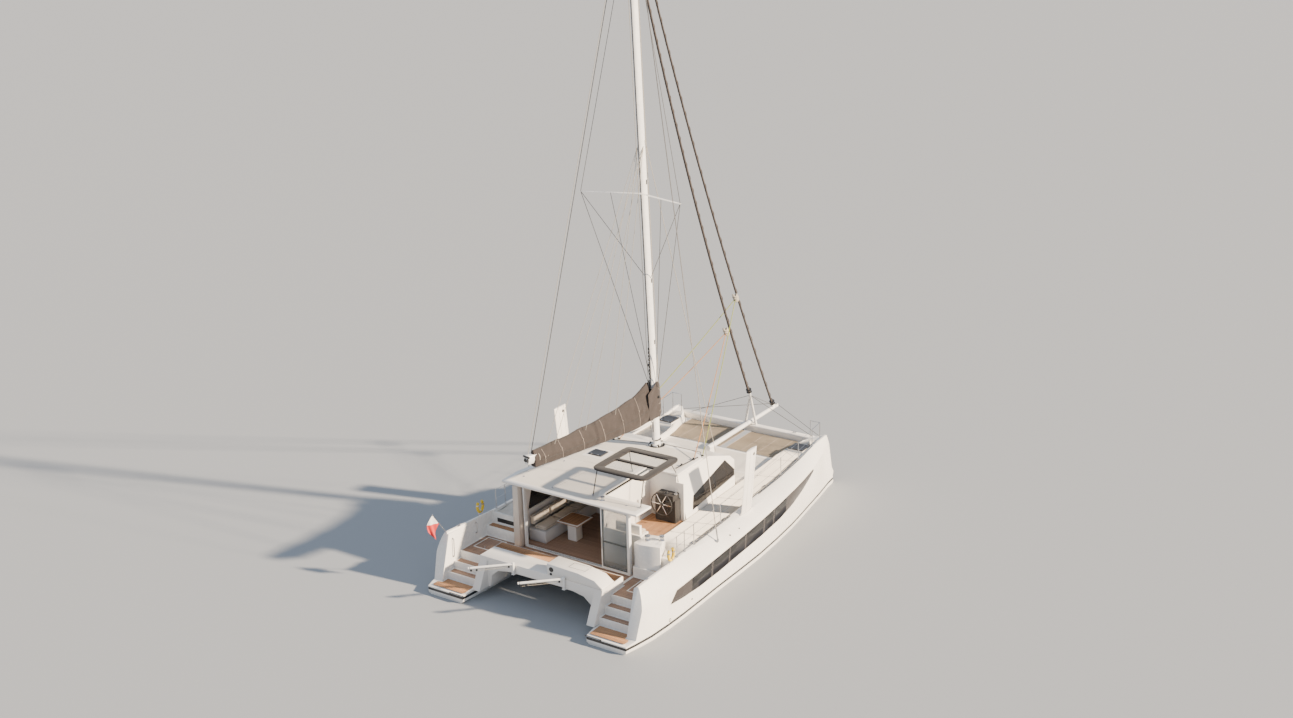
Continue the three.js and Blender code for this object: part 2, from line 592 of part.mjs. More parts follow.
const shell = cabinForm(0, cabin.topZ).subtract(cabinForm(cabin.wall, cabin.topZ + 40));
const glassSheet = cabinForm(15, cabin.topZ).subtract(cabinForm(27, cabin.topZ + 40));
const portWindow = [[-4300, 2150], [-600, 2150], [300, 2250], [250, 2950], [-4300, 2950]];
const starboardWindow = [[-1060, 1900], [2050, 2150], [1400, 2830], [-860, 2350]];
const frontWindow = [[-1380, 1950], [1380, 1950], [1300, 2720], [-1300, 2720]];
const jointY = cabin.creaseY - 100;
const frontZone = box(-3000, 3000, jointY + seamGap, 4000, 0, 5000);
const portZone = box(-3000, 0, -4650, jointY, 0, 5000);
const starboardZone = box(1000, 3000, helm.frontY + seamGap, jointY, 0, 5000);
const sideWindow = (outline, sign) => prism('x', outline, ...(sign > 0 ? [1750, 3000] : [-3000, -1750]));
const frontCut = prism('y', frontWindow, cabin.browY - 200, 4000);
const windowCuts = [sideWindow(portWindow, -1), sideWindow(starboardWindow, 1)];
const walls = cut(shell, ...windowCuts, frontCut);
add('cabin_front', walls.intersect(frontZone), 'gelcoat');
add('cabin_port', walls.intersect(portZone), 'gelcoat');
add('cabin_starboard', walls.intersect(starboardZone), 'gelcoat');
const frontGlass = prism('y', inset(frontWindow, 1), cabin.browY - 200, 4000);
add('windscreen', glassSheet.intersect(frontGlass), 'glazing');
add('window_port', glassSheet.intersect(sideWindow(inset(portWindow, 1), -1)), 'glazing');
add('window_starboard', glassSheet.intersect(sideWindow(inset(starboardWindow, 1), 1)), 'glazing');

// Helm bulkheads: wall beside the saloon, wall ahead of the wheel
const helmWallTop = cabin.topZ;
add('helm_bulkhead', join(
  box(helm.innerX - 60, helm.innerX - seamGap, helm.aftY - 60, helm.frontY, soleZ + seamGap, helmWallTop),
  box(helm.innerX - 60, 2280, helm.frontY - 60, helm.frontY, helm.floorZ + seamGap, 3050),
  box(helm.innerX - 60, 2000, helm.frontY - 60, helm.frontY, 3050, helmWallTop),
  box(helm.innerX - 60, edgeX - 5, helm.aftY - 60, helm.aftY - seamGap, soleZ + seamGap, 2250)), 'shadeGrey');

// Roof with the helm cut-out and the wide aft wings
const roofOutline = [
  [-2750, -4950], [2680, -4950], [2700, -4120], [880, -4120], [800, -3950], [800, -1560], [2060, -1560],
  [2010, 100], [1700, 500], [-1700, 500], [-2010, 100], [-2450, -2300], [-2800, -4000],
];
const roofHatch = { x0: -1600, x1: -1050, y0: -1600, y1: -1150 };
const hatchWell = box(roofHatch.x0 + hatchLip, roofHatch.x1 - hatchLip, roofHatch.y0 + hatchLip,
  roofHatch.y1 - hatchLip, 3000, 3500);
add('roof', cut(prism('z', roofOutline, roofZ - roofThickness, roofZ), hatchWell), 'gelcoat');
add('roof_hatch', box(roofHatch.x0, roofHatch.x1, roofHatch.y0, roofHatch.y1, roofZ + seamGap, roofZ + 40),
  'glazing');
add('roof_post', loft([[soleZ + seamGap, 1], [roofZ - roofThickness - seamGap, 0.85]].map(([z, scale]) => [
  [-130, -150], [130, -150], [130, 150], [-130, 150],
].map(([x, y]) => new THREE.Vector3(-2180 + x * scale, -4840 + y * scale, z)))), 'deck');

// Door frame across the saloon, one fixed pane and three sliding leaves parked over it
const door = {
  y: -4690, left: -2000, right: 2260, topZ: cabin.topZ, sillZ: soleZ + seamGap, sill: 30, post: 50, rail: 60,
};
const leaf = { width: 1060, thickness: 20, pitch: 30 };
const leafRight = door.right - door.post - movingGap;
const frameDepth = [door.y - 100, door.y + 30];
const doorFrame = join(
  box(door.left, door.right, ...frameDepth, door.sillZ, door.sillZ + door.sill),
  box(door.left, door.right, ...frameDepth, door.topZ - door.rail, door.topZ),
  box(door.right - door.post, door.right, ...frameDepth, door.sillZ, door.topZ),
  box(door.left, door.left + door.post, ...frameDepth, door.sillZ, door.topZ),
  box(leafRight - leaf.width, door.right, door.y + 8, door.y + 28, door.sillZ, door.topZ));
add('door_frame', doorFrame, 'spar');
[1, 2, 3].forEach((number) => {
  const y = door.y + 8 - number * leaf.pitch;
  add(`door_leaf_${number}`, box(leafRight - leaf.width, leafRight, y, y + leaf.thickness,
    door.sillZ + door.sill + seamGap, door.topZ - door.rail - movingGap), 'clear');
});

// Saloon: L-shaped sofa to port, table, helm furniture
const sofaPlan = [[-2200, -4300], [-1500, -4300], [-1500, -1400], [-300, -1400], [-300, -700], [-2200, -700]];
add('sofa_base', prism('z', sofaPlan, soleZ + seamGap, 1480), 'shadeGrey');
const cushionPlan = sofaPlan.map(([x, y]) => [x + (x < -2000 ? 20 : -20), y + (y < -4000 ? 20 : -20)]);
const backPlan = [[-2180, -4280], [-1980, -4280], [-1980, -920], [-320, -920], [-320, -720], [-2180, -720]];
add('sofa_cushions', join(prism('z', cushionPlan, 1480 + seamGap, 1600), prism('z', backPlan, 1590, 1950)),
  'cushion');
const tableTop = box(-1350, -450, -3900, -3000, 1740, 1780);
const tableFoot = box(-1080, -720, -3630, -3270, soleZ + seamGap, 1745);
add('table', join(tableTop, tableFoot), 'gelcoat');
add('helm_seat', join(box(1250, 2200, -4080, -3600, helm.floorZ + seamGap, 2130),
  box(1250, 2200, -4090, -3980, 2100, 2500)), 'teak');
add('helm_console', join(box(1350, 2150, -1900, -1560 - seamGap, helm.floorZ + seamGap, 2520),
  box(1400, 2100, -1950, -1560 - seamGap, 2500, 2700)), 'charcoal');
const wheel = { x: 1750, y: -2120, z: 2420, radius: 400 };
const rim = new THREE.TorusGeometry(wheel.radius, 16, 6, 28);
rim.rotateX(Math.PI / 2);
rim.translate(wheel.x, wheel.y, wheel.z);
const spokes = [0, 60, 120].map((degrees) => {
  const turn = THREE.MathUtils.degToRad(degrees);
  const [dx, dz] = [Math.cos(turn), Math.sin(turn)].map((part) => part * (wheel.radius - 5));
  return bar([wheel.x - dx, wheel.y, wheel.z - dz], [wheel.x + dx, wheel.y, wheel.z + dz], 11);
});
add('steering_wheel', join(toSolid(rim), ...spokes,
  bar([wheel.x, wheel.y - 30, wheel.z], [wheel.x, -1900 - seamGap, wheel.z], 45, 45, 12)), 'steel');

// Bimini over the helm: rounded frame with two openings, one clear sheet beneath it
const bimini = { x0: 450, x1: 2560, y0: -4280, y1: -2120, z: 4190, thickness: 60, rim: 290, bar: 60 };
const middleY = (bimini.y0 + bimini.y1) / 2;
// Rounded plate inside the bimini's plan: margin from its sides, aft and front y
function biminiPlate(margin, y0, y1, radius, lowZ, highZ) {
  const [x0, x1] = [bimini.x0 + margin, bimini.x1 - margin];
  return prism('z', rounded([[x0, y0], [x1, y0], [x1, y1], [x0, y1]], radius), lowZ, highZ);
}

const biminiRing = cut(
  biminiPlate(0, bimini.y0, bimini.y1, 320, bimini.z, bimini.z + bimini.thickness),
  biminiPlate(bimini.rim, bimini.y0 + bimini.rim, middleY - bimini.bar, 80, 4000, 4500),
  biminiPlate(bimini.rim, middleY + bimini.bar, bimini.y1 - bimini.rim, 80, 4000, 4500));
// Posts in columns: top x and y, foot x and y
const biminiPosts = [
  [620, -4120, 620, -4420], [2420, -4120, 2480, -4420], [620, -2300, 600, -2100], [2050, -2180, 1940, -1450],
].map(([topX, topY, footX, footY]) => bar([footX, footY, roofZ - 40], [topX, topY, bimini.z + 20], 16));
add('bimini_frame', cut(join(biminiRing, ...biminiPosts), box(0, 3000, -5000, 0, 3000, roofZ + seamGap)),
  'charcoal');
const sheetMargin = bimini.rim - 55;
add('bimini_panel', biminiPlate(sheetMargin, bimini.y0 + sheetMargin, bimini.y1 - sheetMargin, 60,
  bimini.z - 10, bimini.z - seamGap), 'clear');

// Mast on its step, spreaders swept aft behind it
const mastTopZ = mastFoot.z + mastLength;
const mastStep = box(-170, 170, mastFoot.y - 230, mastFoot.y + 230, mastFoot.z, mastFoot.z + 60);
// Gooseneck jaw behind the mast: two plates that hold the boom's eye
const jawY = mastAt(gooseneckZ).y - mastHalf.y;
const jaws = [-1, 1].map((s) => {
  const near = gooseneckZ + s * gooseneck.jaw / 2;
  const far = near + s * gooseneck.plate;
  const aftY = jawY - gooseneck.reach - gooseneck.eyeRadius;
  return box(-gooseneck.eyeRadius, gooseneck.eyeRadius, aftY, jawY + 60, Math.min(near, far),
    Math.max(near, far));
});
add('mast', join(loft([mastSection(mastFoot.z), mastSection(mastTopZ)]), mastStep, ...jaws), 'spar');
const spreaderRoot = mastAt(spreaderZ);
const spreaderArms = [-1, 1].map((s) => {
  const rootY = spreaderRoot.y - mastHalf.y - 30;
  const chord = [[90, 0], [0, 22], [-90, 0], [0, -22]];
  return loft([[0, rootY, 1], [s * 1960, rootY - 640, 0.6]].map(([x, y, scale]) => chord.map(([dy, dz]) => (
    new THREE.Vector3(x, y + dy * scale, spreaderZ + dz * scale)))));
});
add('spreaders', cut(join(...spreaderArms), loft([mastSection(spreaderZ - 400, seamGap),
  mastSection(spreaderZ + 400, seamGap)])), 'spar');

// Boom and its sail bag, swung to port about the mast
const boomDirection = new THREE.Vector3(-Math.sin(boomRestAngle), -Math.cos(boomRestAngle), 0.06).normalize();
const boomSide = new THREE.Vector3(0, 0, 1).cross(boomDirection).normalize();
const boomPivot = mastAt(gooseneckZ).add(new THREE.Vector3(0, -mastHalf.y - gooseneck.reach, 0));

function boomRing(along, outline) {
  return outline.map(([across, up]) => boomPivot.clone()
    .addScaledVector(boomDirection, along)
    .addScaledVector(boomSide, across)
    .add(new THREE.Vector3(0, 0, up)));
}

const boomOutline = (width, low, high) => [
  [-width * 0.6, low], [width * 0.6, low], [width, (low + high) / 2], [width * 0.8, high],
  [-width * 0.8, high], [-width, (low + high) / 2]];
const boomStart = 110;
const boomTop = 130;
const boomBody = loft([[boomStart, 90], [boomStart + 400, 130], [boomLength, 120]].map(([along, width]) => (
  boomRing(along, boomOutline(width, -150, boomTop)))));
const tongueHalf = gooseneck.jaw / 2 - seamGap;
const tongueEye = bar([boomPivot.x, boomPivot.y, gooseneckZ - tongueHalf],
  [boomPivot.x, boomPivot.y, gooseneckZ + tongueHalf], gooseneck.eyeRadius, gooseneck.eyeRadius, 16);
const tongueOutline = [[-20, -30], [20, -30], [20, 30], [-20, 30]];
const tongue = loft([0, boomStart + 60].map((along) => boomRing(along, tongueOutline)));
add('boom', join(boomBody, tongueEye, tongue), 'spar');
const bagStations = [
  { along: boomStart + 80, width: 170, top: 1500 },
  { along: 900, width: 230, top: 1180 },
  { along: 2400, width: 230, top: 860 },
  { along: 4200, width: 200, top: 640 },
  { along: boomLength - 250, width: 150, top: 440 },
];
add('sail_bag', loft(bagStations.map(({ along, width, top }) => boomRing(along, [
  [-width * 0.8, boomTop + seamGap], [width * 0.8, boomTop + seamGap], [width, 320],
  [width * 0.55, top * 0.8], [30, top], [-30, top], [-width * 0.55, top * 0.8], [-width, 320]]))), 'canvas');

// Furled headsails on their stays, cut flat where they seat
function furledSail(foot, headZ, footRadius, headRadius) {
  const head = [0, mastAt(headZ).y + mastHalf.y + 12, headZ];
  return cut(bar([0, foot.y, foot.z - 60], head, footRadius, headRadius, 8),
    box(-200, 200, foot.y - 400, foot.y + 400, foot.z - 300, foot.z + seamGap),
    loft([mastSection(headZ - 900, seamGap), mastSection(headZ + 300, seamGap)]));
}

add('furled_jib', furledSail({ y: striker.headY, z: striker.topZ }, 20650, 48, 38), 'sailCover');
add('furled_genoa', furledSail({ y: spritPad.y, z: spritPad.topZ }, 21700, 42, 34), 'sailCover');

export default part;
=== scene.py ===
import json
import math

import bpy
from mathutils import Matrix, Vector

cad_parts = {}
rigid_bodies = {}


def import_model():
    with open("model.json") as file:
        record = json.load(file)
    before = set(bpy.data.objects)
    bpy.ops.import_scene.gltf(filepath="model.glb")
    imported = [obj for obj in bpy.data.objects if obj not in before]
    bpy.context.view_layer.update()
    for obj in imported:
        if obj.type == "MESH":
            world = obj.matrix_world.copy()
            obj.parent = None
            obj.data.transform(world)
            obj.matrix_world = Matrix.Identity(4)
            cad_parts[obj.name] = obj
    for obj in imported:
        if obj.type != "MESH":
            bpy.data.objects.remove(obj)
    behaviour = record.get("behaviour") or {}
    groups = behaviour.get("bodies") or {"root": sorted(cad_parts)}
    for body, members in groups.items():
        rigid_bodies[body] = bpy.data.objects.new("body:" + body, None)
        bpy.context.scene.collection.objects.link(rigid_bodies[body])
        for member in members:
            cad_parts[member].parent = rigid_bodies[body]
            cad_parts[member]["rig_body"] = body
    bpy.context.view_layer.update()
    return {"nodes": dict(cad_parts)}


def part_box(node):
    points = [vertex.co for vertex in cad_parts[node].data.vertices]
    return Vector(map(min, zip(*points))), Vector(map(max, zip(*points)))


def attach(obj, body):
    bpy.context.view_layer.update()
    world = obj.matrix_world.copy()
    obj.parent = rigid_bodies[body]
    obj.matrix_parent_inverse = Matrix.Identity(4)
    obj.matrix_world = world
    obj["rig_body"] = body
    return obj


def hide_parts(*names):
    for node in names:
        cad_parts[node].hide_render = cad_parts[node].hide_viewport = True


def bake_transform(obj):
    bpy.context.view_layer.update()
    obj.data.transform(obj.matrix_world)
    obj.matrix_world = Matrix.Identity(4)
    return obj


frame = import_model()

nodes = frame["nodes"]
print("frame loaded:", len(nodes), "nodes")

# Camera, floor and light

view = {"lens": 43.03, "place": (27.934, -41.418, 23.725), "yaw": -34.134, "pitch": -18.906, "roll": -1.424}


def makeCamera():
    yaw, pitch, roll = (math.radians(view[k]) for k in ("yaw", "pitch", "roll"))
    reach, rise = math.cos(pitch), math.sin(pitch)
    forward = Vector((math.sin(yaw) * reach, math.cos(yaw) * reach, rise))
    level = Vector((math.cos(yaw), -math.sin(yaw), 0))
    upright = level.cross(forward)
    right = level * math.cos(roll) + upright * math.sin(roll)
    top = upright * math.cos(roll) - level * math.sin(roll)
    data = bpy.data.cameras.new("photoCamera")
    data.lens = view["lens"]
    data.sensor_width = 36
    data.sensor_fit = "HORIZONTAL"
    data.clip_start, data.clip_end = 1, 2000
    camera = bpy.data.objects.new("photoCamera", data)
    bpy.context.scene.collection.objects.link(camera)
    rows = [(right[i], top[i], -forward[i], view["place"][i]) for i in range(3)]
    camera.matrix_world = Matrix([*rows, (0, 0, 0, 1)])
    bpy.context.scene.camera = camera


# The low sun stands at this azimuth, in degrees from +Y towards +X
light = {
    "azimuth": 74, "height": 26, "softness": 2.2, "strength": 16.5, "sunColour": (1.0, 0.82, 0.62),
    "skyColour": (0.70, 0.80, 0.96), "skyStrength": 0.95,
    "floorSize": 900, "floorColour": (0.29, 0.305, 0.32), "floorRoughness": 0.8,
}


def makeLight():
    azimuth, height = math.radians(light["azimuth"]), math.radians(light["height"])
    reach = math.cos(height)
    toSun = Vector((math.sin(azimuth) * reach, math.cos(azimuth) * reach, math.sin(height)))
    data = bpy.data.lights.new("keyLight", "SUN")
    data.energy = light["strength"]
    data.angle = math.radians(light["softness"])
    data.color = light["sunColour"]
    key = bpy.data.objects.new("keyLight", data)
    key.rotation_mode = "QUATERNION"
    key.rotation_quaternion = toSun.to_track_quat("Z", "Y")
    bpy.context.scene.collection.objects.link(key)
    world = bpy.data.worlds.new("studio")
    bpy.context.scene.world = world
    world.use_nodes = True
    background = world.node_tree.nodes["Background"]
    background.inputs["Color"].default_value = (*light["skyColour"], 1)
    background.inputs["Strength"].default_value = light["skyStrength"]


def makeFloor():
    bpy.ops.object.select_all(action="DESELECT")
    bpy.ops.mesh.primitive_plane_add(size=light["floorSize"], location=(0, 0, 0))
    floor = bpy.context.object
    floor.name = "floor"
    paint = bpy.data.materials.new("floorPaint")
    paint.use_nodes = True
    shader = paint.node_tree.nodes["Principled BSDF"]
    shader.inputs["Base Color"].default_value = (*light["floorColour"], 1)
    shader.inputs["Roughness"].default_value = light["floorRoughness"]
    floor.data.materials.append(paint)


makeCamera()
makeLight()
makeFloor()
print("camera, light and floor set")

# Materials: a small helper for node trees, then one function for each kind of finish


class Nodes:
    def __init__(self, name):
        self.material = bpy.data.materials.new(name)
        self.material.use_nodes = True
        self.tree = self.material.node_tree
        self.shader = self.tree.nodes["Principled BSDF"]
        self.place = self.add("ShaderNodeTexCoord").outputs["Object"]

    def add(self, kind, **values):
        node = self.tree.nodes.new(kind)
        for key, value in values.items():
            setattr(node, key, value)
        return node

    def feed(self, socket, value):
        if isinstance(value, (int, float)):
            socket.default_value = value
        elif isinstance(value, tuple):
            socket.default_value = (*value, 1)
        else:
            self.tree.links.new(value, socket)

    def put(self, **values):
        for key, value in values.items():
            self.feed(self.shader.inputs[key.replace("_", " ")], value)

    def stretch(self, scale):
        node = self.add("ShaderNodeMapping")
        node.inputs["Scale"].default_value = scale
        self.feed(node.inputs["Vector"], self.place)
        return node.outputs["Vector"]

    def noise(self, scale, detail=4, rough=0.55, vector=None):
        node = self.add("ShaderNodeTexNoise")
        for key, value in (("Scale", scale), ("Detail", detail), ("Roughness", rough)):
            node.inputs[key].default_value = value
        self.feed(node.inputs["Vector"], vector or self.place)
        return node.outputs["Fac"]

    def ramp(self, fac, low, high, spread=0.2):
        node = self.add("ShaderNodeValToRGB")
        for mark, at, colour in zip(node.color_ramp.elements, (0.5 - spread, 0.5 + spread), (low, high)):
            mark.position = at
            mark.color = (*colour, 1)
        self.feed(node.inputs["Fac"], fac)
        return node.outputs["Color"]

    def math(self, operation, a, b=0.5):
        node = self.add("ShaderNodeMath", operation=operation)
        self.feed(node.inputs[0], a)
        self.feed(node.inputs[1], b)
        return node.outputs["Value"]

    def mix(self, fac, a, b):
        node = self.add("ShaderNodeMix", data_type="RGBA")
        for i, value in ((0, fac), (6, a), (7, b)):
            self.feed(node.inputs[i], value)
        return node.outputs[2]

    def rough(self, fac, low, high):
        node = self.add("ShaderNodeMapRange")
        node.inputs["To Min"].default_value = low
        node.inputs["To Max"].default_value = high
        self.feed(node.inputs["Value"], fac)
        self.put(Roughness=node.outputs["Result"])

    def bump(self, height, strength, distance):
        node = self.add("ShaderNodeBump")
        node.inputs["Strength"].default_value = strength
        node.inputs["Distance"].default_value = distance
        self.feed(node.inputs["Height"], height)
        self.put(Normal=node.outputs["Normal"])

    def axes(self):
        node = self.add("ShaderNodeSeparateXYZ")
        self.feed(node.inputs["Vector"], self.place)
        return node.outputs

    def wave(self, run, pitch):
        return self.math("SINE", self.math("MULTIPLY", run, pitch))


def darker(colour, share):
    return tuple(c * share for c in colour)


def gelcoat(name, base, shade, gloss=0.28):
    n = Nodes(name)
    n.put(Base_Color=n.ramp(n.noise(0.7, 3), shade, base, 0.15), Coat_Weight=0.35, Coat_Roughness=0.12)
    n.rough(n.noise(9, 5), gloss, gloss + 0.14)
    n.bump(n.noise(3.5, 2), 0.06, 0.01)
    return n.material


def nonSkid(name, base, shade):
    n = Nodes(name)
    cells = n.add("ShaderNodeTexVoronoi", feature="F1")
    cells.inputs["Scale"].default_value = 90
    n.feed(cells.inputs["Vector"], n.place)
    n.put(Base_Color=n.ramp(n.noise(1.3, 4), shade, base, 0.15))
    n.rough(n.noise(6, 4), 0.55, 0.75)
    n.bump(cells.outputs["Distance"], 0.35, 0.004)
    return n.material


def planks(name, pale, dark, seam, width, across="X"):
    n = Nodes(name)
    caulkHalf = 0.0035
    number = n.math("DIVIDE", n.axes()["XY".index(across)], width)
    edge = n.math("ABSOLUTE", n.math("SUBTRACT", n.math("FRACT", number), 0.5))
    caulk = n.math("GREATER_THAN", edge, 0.5 - caulkHalf / width)
    board = n.add("ShaderNodeTexWhiteNoise", noise_dimensions="1D")
    n.feed(board.inputs["W"], n.math("FLOOR", number))
    along = (40, 2.2, 40) if across == "X" else (2.2, 40, 40)
    grain = n.noise(3, 6, 0.65, n.stretch(along))
    tone = n.math("ADD", n.math("MULTIPLY", grain, 0.65), n.math("MULTIPLY", board.outputs["Value"], 0.35))
    n.put(Base_Color=n.mix(caulk, n.ramp(tone, dark, pale, 0.25), seam))
    n.rough(grain, 0.55, 0.8)
    n.bump(n.math("SUBTRACT", n.math("MULTIPLY", grain, 0.3), caulk), 0.4, 0.003)
    return n.material


def fabric(name, base, shade, thread=260, sheen=0.3):
    n = Nodes(name)
    x, y, z = n.axes()
    warp = n.wave(n.math("ADD", x, z), thread * math.tau)
    weft = n.wave(n.math("SUBTRACT", y, z), thread * math.tau)
    weave = n.math("ADD", n.math("MULTIPLY", warp, weft), n.math("MULTIPLY", n.noise(60, 2), 0.6))
    n.put(Base_Color=n.ramp(n.noise(2.2, 6, 0.6), shade, base), Sheen_Weight=sheen, Sheen_Roughness=0.5)
    n.rough(n.noise(30, 3), 0.75, 0.95)
    n.bump(weave, 0.35, 0.0012)
    return n.material


def metal(name, base, low, high, metallic=1.0, coat=0.0):
    n = Nodes(name)
    n.put(Base_Color=n.ramp(n.noise(6, 5), darker(base, 0.86), base), Metallic=metallic, Coat_Weight=coat)
    n.rough(n.noise(22, 5), low, high)
    n.bump(n.noise(120, 2), 0.04, 0.001)
    return n.material


def glass(name, base, alpha, low=0.03, high=0.08):
    n = Nodes(name)
    n.put(Base_Color=n.ramp(n.noise(1.1, 3), darker(base, 0.9), base), Alpha=alpha, IOR=1.42)
    n.put(Coat_Weight=0.1, Coat_Roughness=0.05)
    n.rough(n.noise(5, 4), low, high)
    return n.material


def matt(name, base, shade, toneScale, roughScale, low, high, bump):
    n = Nodes(name)
    n.put(Base_Color=n.ramp(n.noise(*toneScale), shade, base))
    n.rough(n.noise(*roughScale), low, high)
    grainScale, detail, strength, distance = bump
    n.bump(n.noise(grainScale, detail), strength, distance)
    return n.material


def webbing(name, base, shade):
    n = Nodes(name)
    x, y, z = n.axes()
    n.put(Base_Color=n.ramp(n.noise(1.6, 5), shade, base))
    n.rough(n.noise(25, 3), 0.8, 0.95)
    n.bump(n.math("MULTIPLY", n.wave(x, 520), n.wave(y, 520)), 0.6, 0.002)
    return n.material


def rope(name, base, fleck):
    n = Nodes(name)
    x, y, z = n.axes()
    strand = n.wave(n.math("ADD", n.math("ADD", x, y), n.math("MULTIPLY", z, 1.3)), 900)
    tone = n.math("ADD", n.math("MULTIPLY", strand, 0.25), n.noise(90, 3))
    n.put(Base_Color=n.ramp(tone, fleck, base, 0.15))
    n.rough(n.noise(60, 3), 0.7, 0.9)
    n.bump(strand, 0.5, 0.001)
    return n.material


def twoTone(name, upper, lower, level):
    n = Nodes(name)
    weave = n.noise(120, 2)
    low = n.math("LESS_THAN", n.axes()[2], level)
    n.put(Base_Color=n.mix(low, n.ramp(weave, darker(upper, 0.9), upper), lower))
    n.rough(n.noise(40, 3), 0.75, 0.9)
    n.bump(weave, 0.25, 0.001)
    return n.material


teakTones = ((0.46, 0.245, 0.115), (0.29, 0.14, 0.062), (0.03, 0.022, 0.018))
soleTones = ((0.36, 0.225, 0.150), (0.24, 0.145, 0.095), (0.02, 0.014, 0.012))
antifoulForm = ((0.03, 0.033, 0.038), (0.012, 0.014, 0.018), (3, 6), (14, 5), 0.6, 0.85, (40, 4, 0.2, 0.002))
sealForm = ((0.022, 0.021, 0.020), (0.012, 0.012, 0.012), (14, 4), (30, 4), 0.55, 0.75, (160, 3, 0.15, 0.001))
# Each finish by name: a slot name, then its material
finish = {
    "gelcoat": ("gelcoat", gelcoat("gelcoatWhite", (0.80, 0.765, 0.71), (0.75, 0.71, 0.655))),
    "topside": ("gelcoat", gelcoat("topsideWhite", (0.82, 0.79, 0.735), (0.77, 0.735, 0.68), 0.2)),
    "deck": ("deck", nonSkid("deckNonSkid", (0.66, 0.615, 0.545), (0.60, 0.555, 0.49))),
    "column": ("deck", gelcoat("columnBeige", (0.60, 0.53, 0.45), (0.54, 0.47, 0.40), 0.4)),
    "sofa": ("deck", gelcoat("sofaBase", (0.56, 0.53, 0.50), (0.50, 0.475, 0.45), 0.5)),
    "stripe": ("charcoal", gelcoat("bootStripe", (0.016, 0.016, 0.017), (0.011, 0.011, 0.012), 0.25)),
    "teak": ("teak", planks("teakPlanks", *teakTones, 0.06, "Y")),
    "teakFore": ("teak", planks("teakForeAft", *teakTones, 0.06)),
    "sole": ("teak", planks("soleBoards", *soleTones, 0.09, "Y")),
    "smoked": ("smoked_glazing", glass("smokedGlazing", (0.018, 0.016, 0.015), 0.90)),
    "frit": ("smoked_glazing", glass("blackGlassEdge", (0.012, 0.012, 0.013), 1.0)),
    "band": ("smoked_glazing", glass("hullBandGlazing", (0.050, 0.043, 0.040), 1.0, 0.10, 0.18)),
    "pane": ("smoked_glazing", glass("hullPaneGlazing", (0.016, 0.015, 0.016), 1.0, 0.26, 0.34)),
    "clear": ("clear_glazing", glass("clearGlazing", (0.34, 0.39, 0.40), 0.16)),
    "canvas": ("canvas", fabric("bagCanvas", (0.037, 0.0265, 0.0225), (0.027, 0.0195, 0.0165), 180, 0.12)),
    "charcoal": ("charcoal", fabric("charcoalCloth", (0.024, 0.02, 0.018), (0.016, 0.0135, 0.012), 220, 0.1)),
    "sailCover": ("sail_cover", fabric("furledCover", (0.014, 0.014, 0.016), (0.008, 0.008, 0.01), 200, 0.1)),
    "sailTaupe": ("canvas", fabric("furledTaupe", (0.070, 0.054, 0.046), (0.048, 0.037, 0.032), 200, 0.1)),
    "strap": ("canvas", fabric("strapWebbing", (0.30, 0.25, 0.21), (0.22, 0.18, 0.15), 320, 0.1)),
    "cushion": ("cushion", fabric("cushionCloth", (0.56, 0.49, 0.39), (0.49, 0.42, 0.33), 240)),
    "buoy": ("cushion", fabric("buoyYellow", (0.72, 0.50, 0.03), (0.62, 0.42, 0.02), 200, 0.1)),
    "flag": ("cushion", twoTone("flagCloth", (0.78, 0.77, 0.75), (0.55, 0.04, 0.04), 2.26)),
    "net": ("net", webbing("netWeave", (0.26, 0.21, 0.145), (0.19, 0.15, 0.10))),
    "rope": ("cushion", rope("creamRope", (0.44, 0.40, 0.33), (0.26, 0.23, 0.19))),
    "greenRope": ("cushion", rope("greenSheet", (0.30, 0.34, 0.05), (0.18, 0.20, 0.03))),
    "orangeRope": ("cushion", rope("orangeSheet", (0.50, 0.22, 0.06), (0.32, 0.15, 0.05))),
    "spar": ("spar", metal("sparPaint", (0.80, 0.785, 0.75), 0.22, 0.34, 0.0, 0.4)),
    "steel": ("steel", metal("polishedSteel", (0.62, 0.62, 0.63), 0.12, 0.24)),
    "wire": ("steel", metal("rigWire", (0.17, 0.16, 0.15), 0.35, 0.5, 0.6)),
    "bronze": ("bronze", metal("propellerBronze", (0.42, 0.27, 0.12), 0.25, 0.4)),
    "iron": ("iron", metal("castIron", (0.20, 0.22, 0.24), 0.4, 0.6, 0.7)),
    "black": ("charcoal", metal("blackFitting", (0.018, 0.018, 0.019), 0.25, 0.45, 0.0, 0.3)),
    "seal": ("charcoal", matt("sealBlack", *sealForm)),
    "antifoul": ("charcoal", matt("antifouling", *antifoulForm)),
}
print("materials made:", len(finish))

# Shared hand tools

# The boat's sides: the sign of x there, and the word in the names
boatSides = ((-1, "port"), (1, "starboard"))


def deselectAll():
    if bpy.context.mode != "OBJECT":
        bpy.ops.object.mode_set(mode="OBJECT")
    bpy.ops.object.select_all(action="DESELECT")


def activate(piece):
    deselectAll()
    piece.select_set(True)
    bpy.context.view_layer.objects.active = piece


def settle(piece):
    activate(piece)
    bpy.ops.object.transform_apply(location=True, rotation=True, scale=True)
    return piece


def edited(piece, *steps):
    activate(piece)
    bpy.ops.object.mode_set(mode="EDIT")
    for step in steps:
        bpy.ops.mesh.select_all(action="SELECT")
        step()
    bpy.ops.object.mode_set(mode="OBJECT")
    return piece


def modified(piece, kind, **values):
    modifier = piece.modifiers.new("shaping", kind)
    for key, value in values.items():
        setattr(modifier, key, value)
    activate(piece)
    bpy.ops.object.modifier_apply(modifier=modifier.name)
    return piece


def subdivided(piece):
    return modified(piece, "SUBSURF", levels=1, render_levels=1)


def bevelled(piece, width, segments=2):
    return modified(piece, "BEVEL", width=width, segments=segments, limit_method="ANGLE",
                    angle_limit=math.radians(30), use_clamp_overlap=True)


def outwards(piece):
    return edited(piece, lambda: bpy.ops.mesh.normals_make_consistent(inside=False))


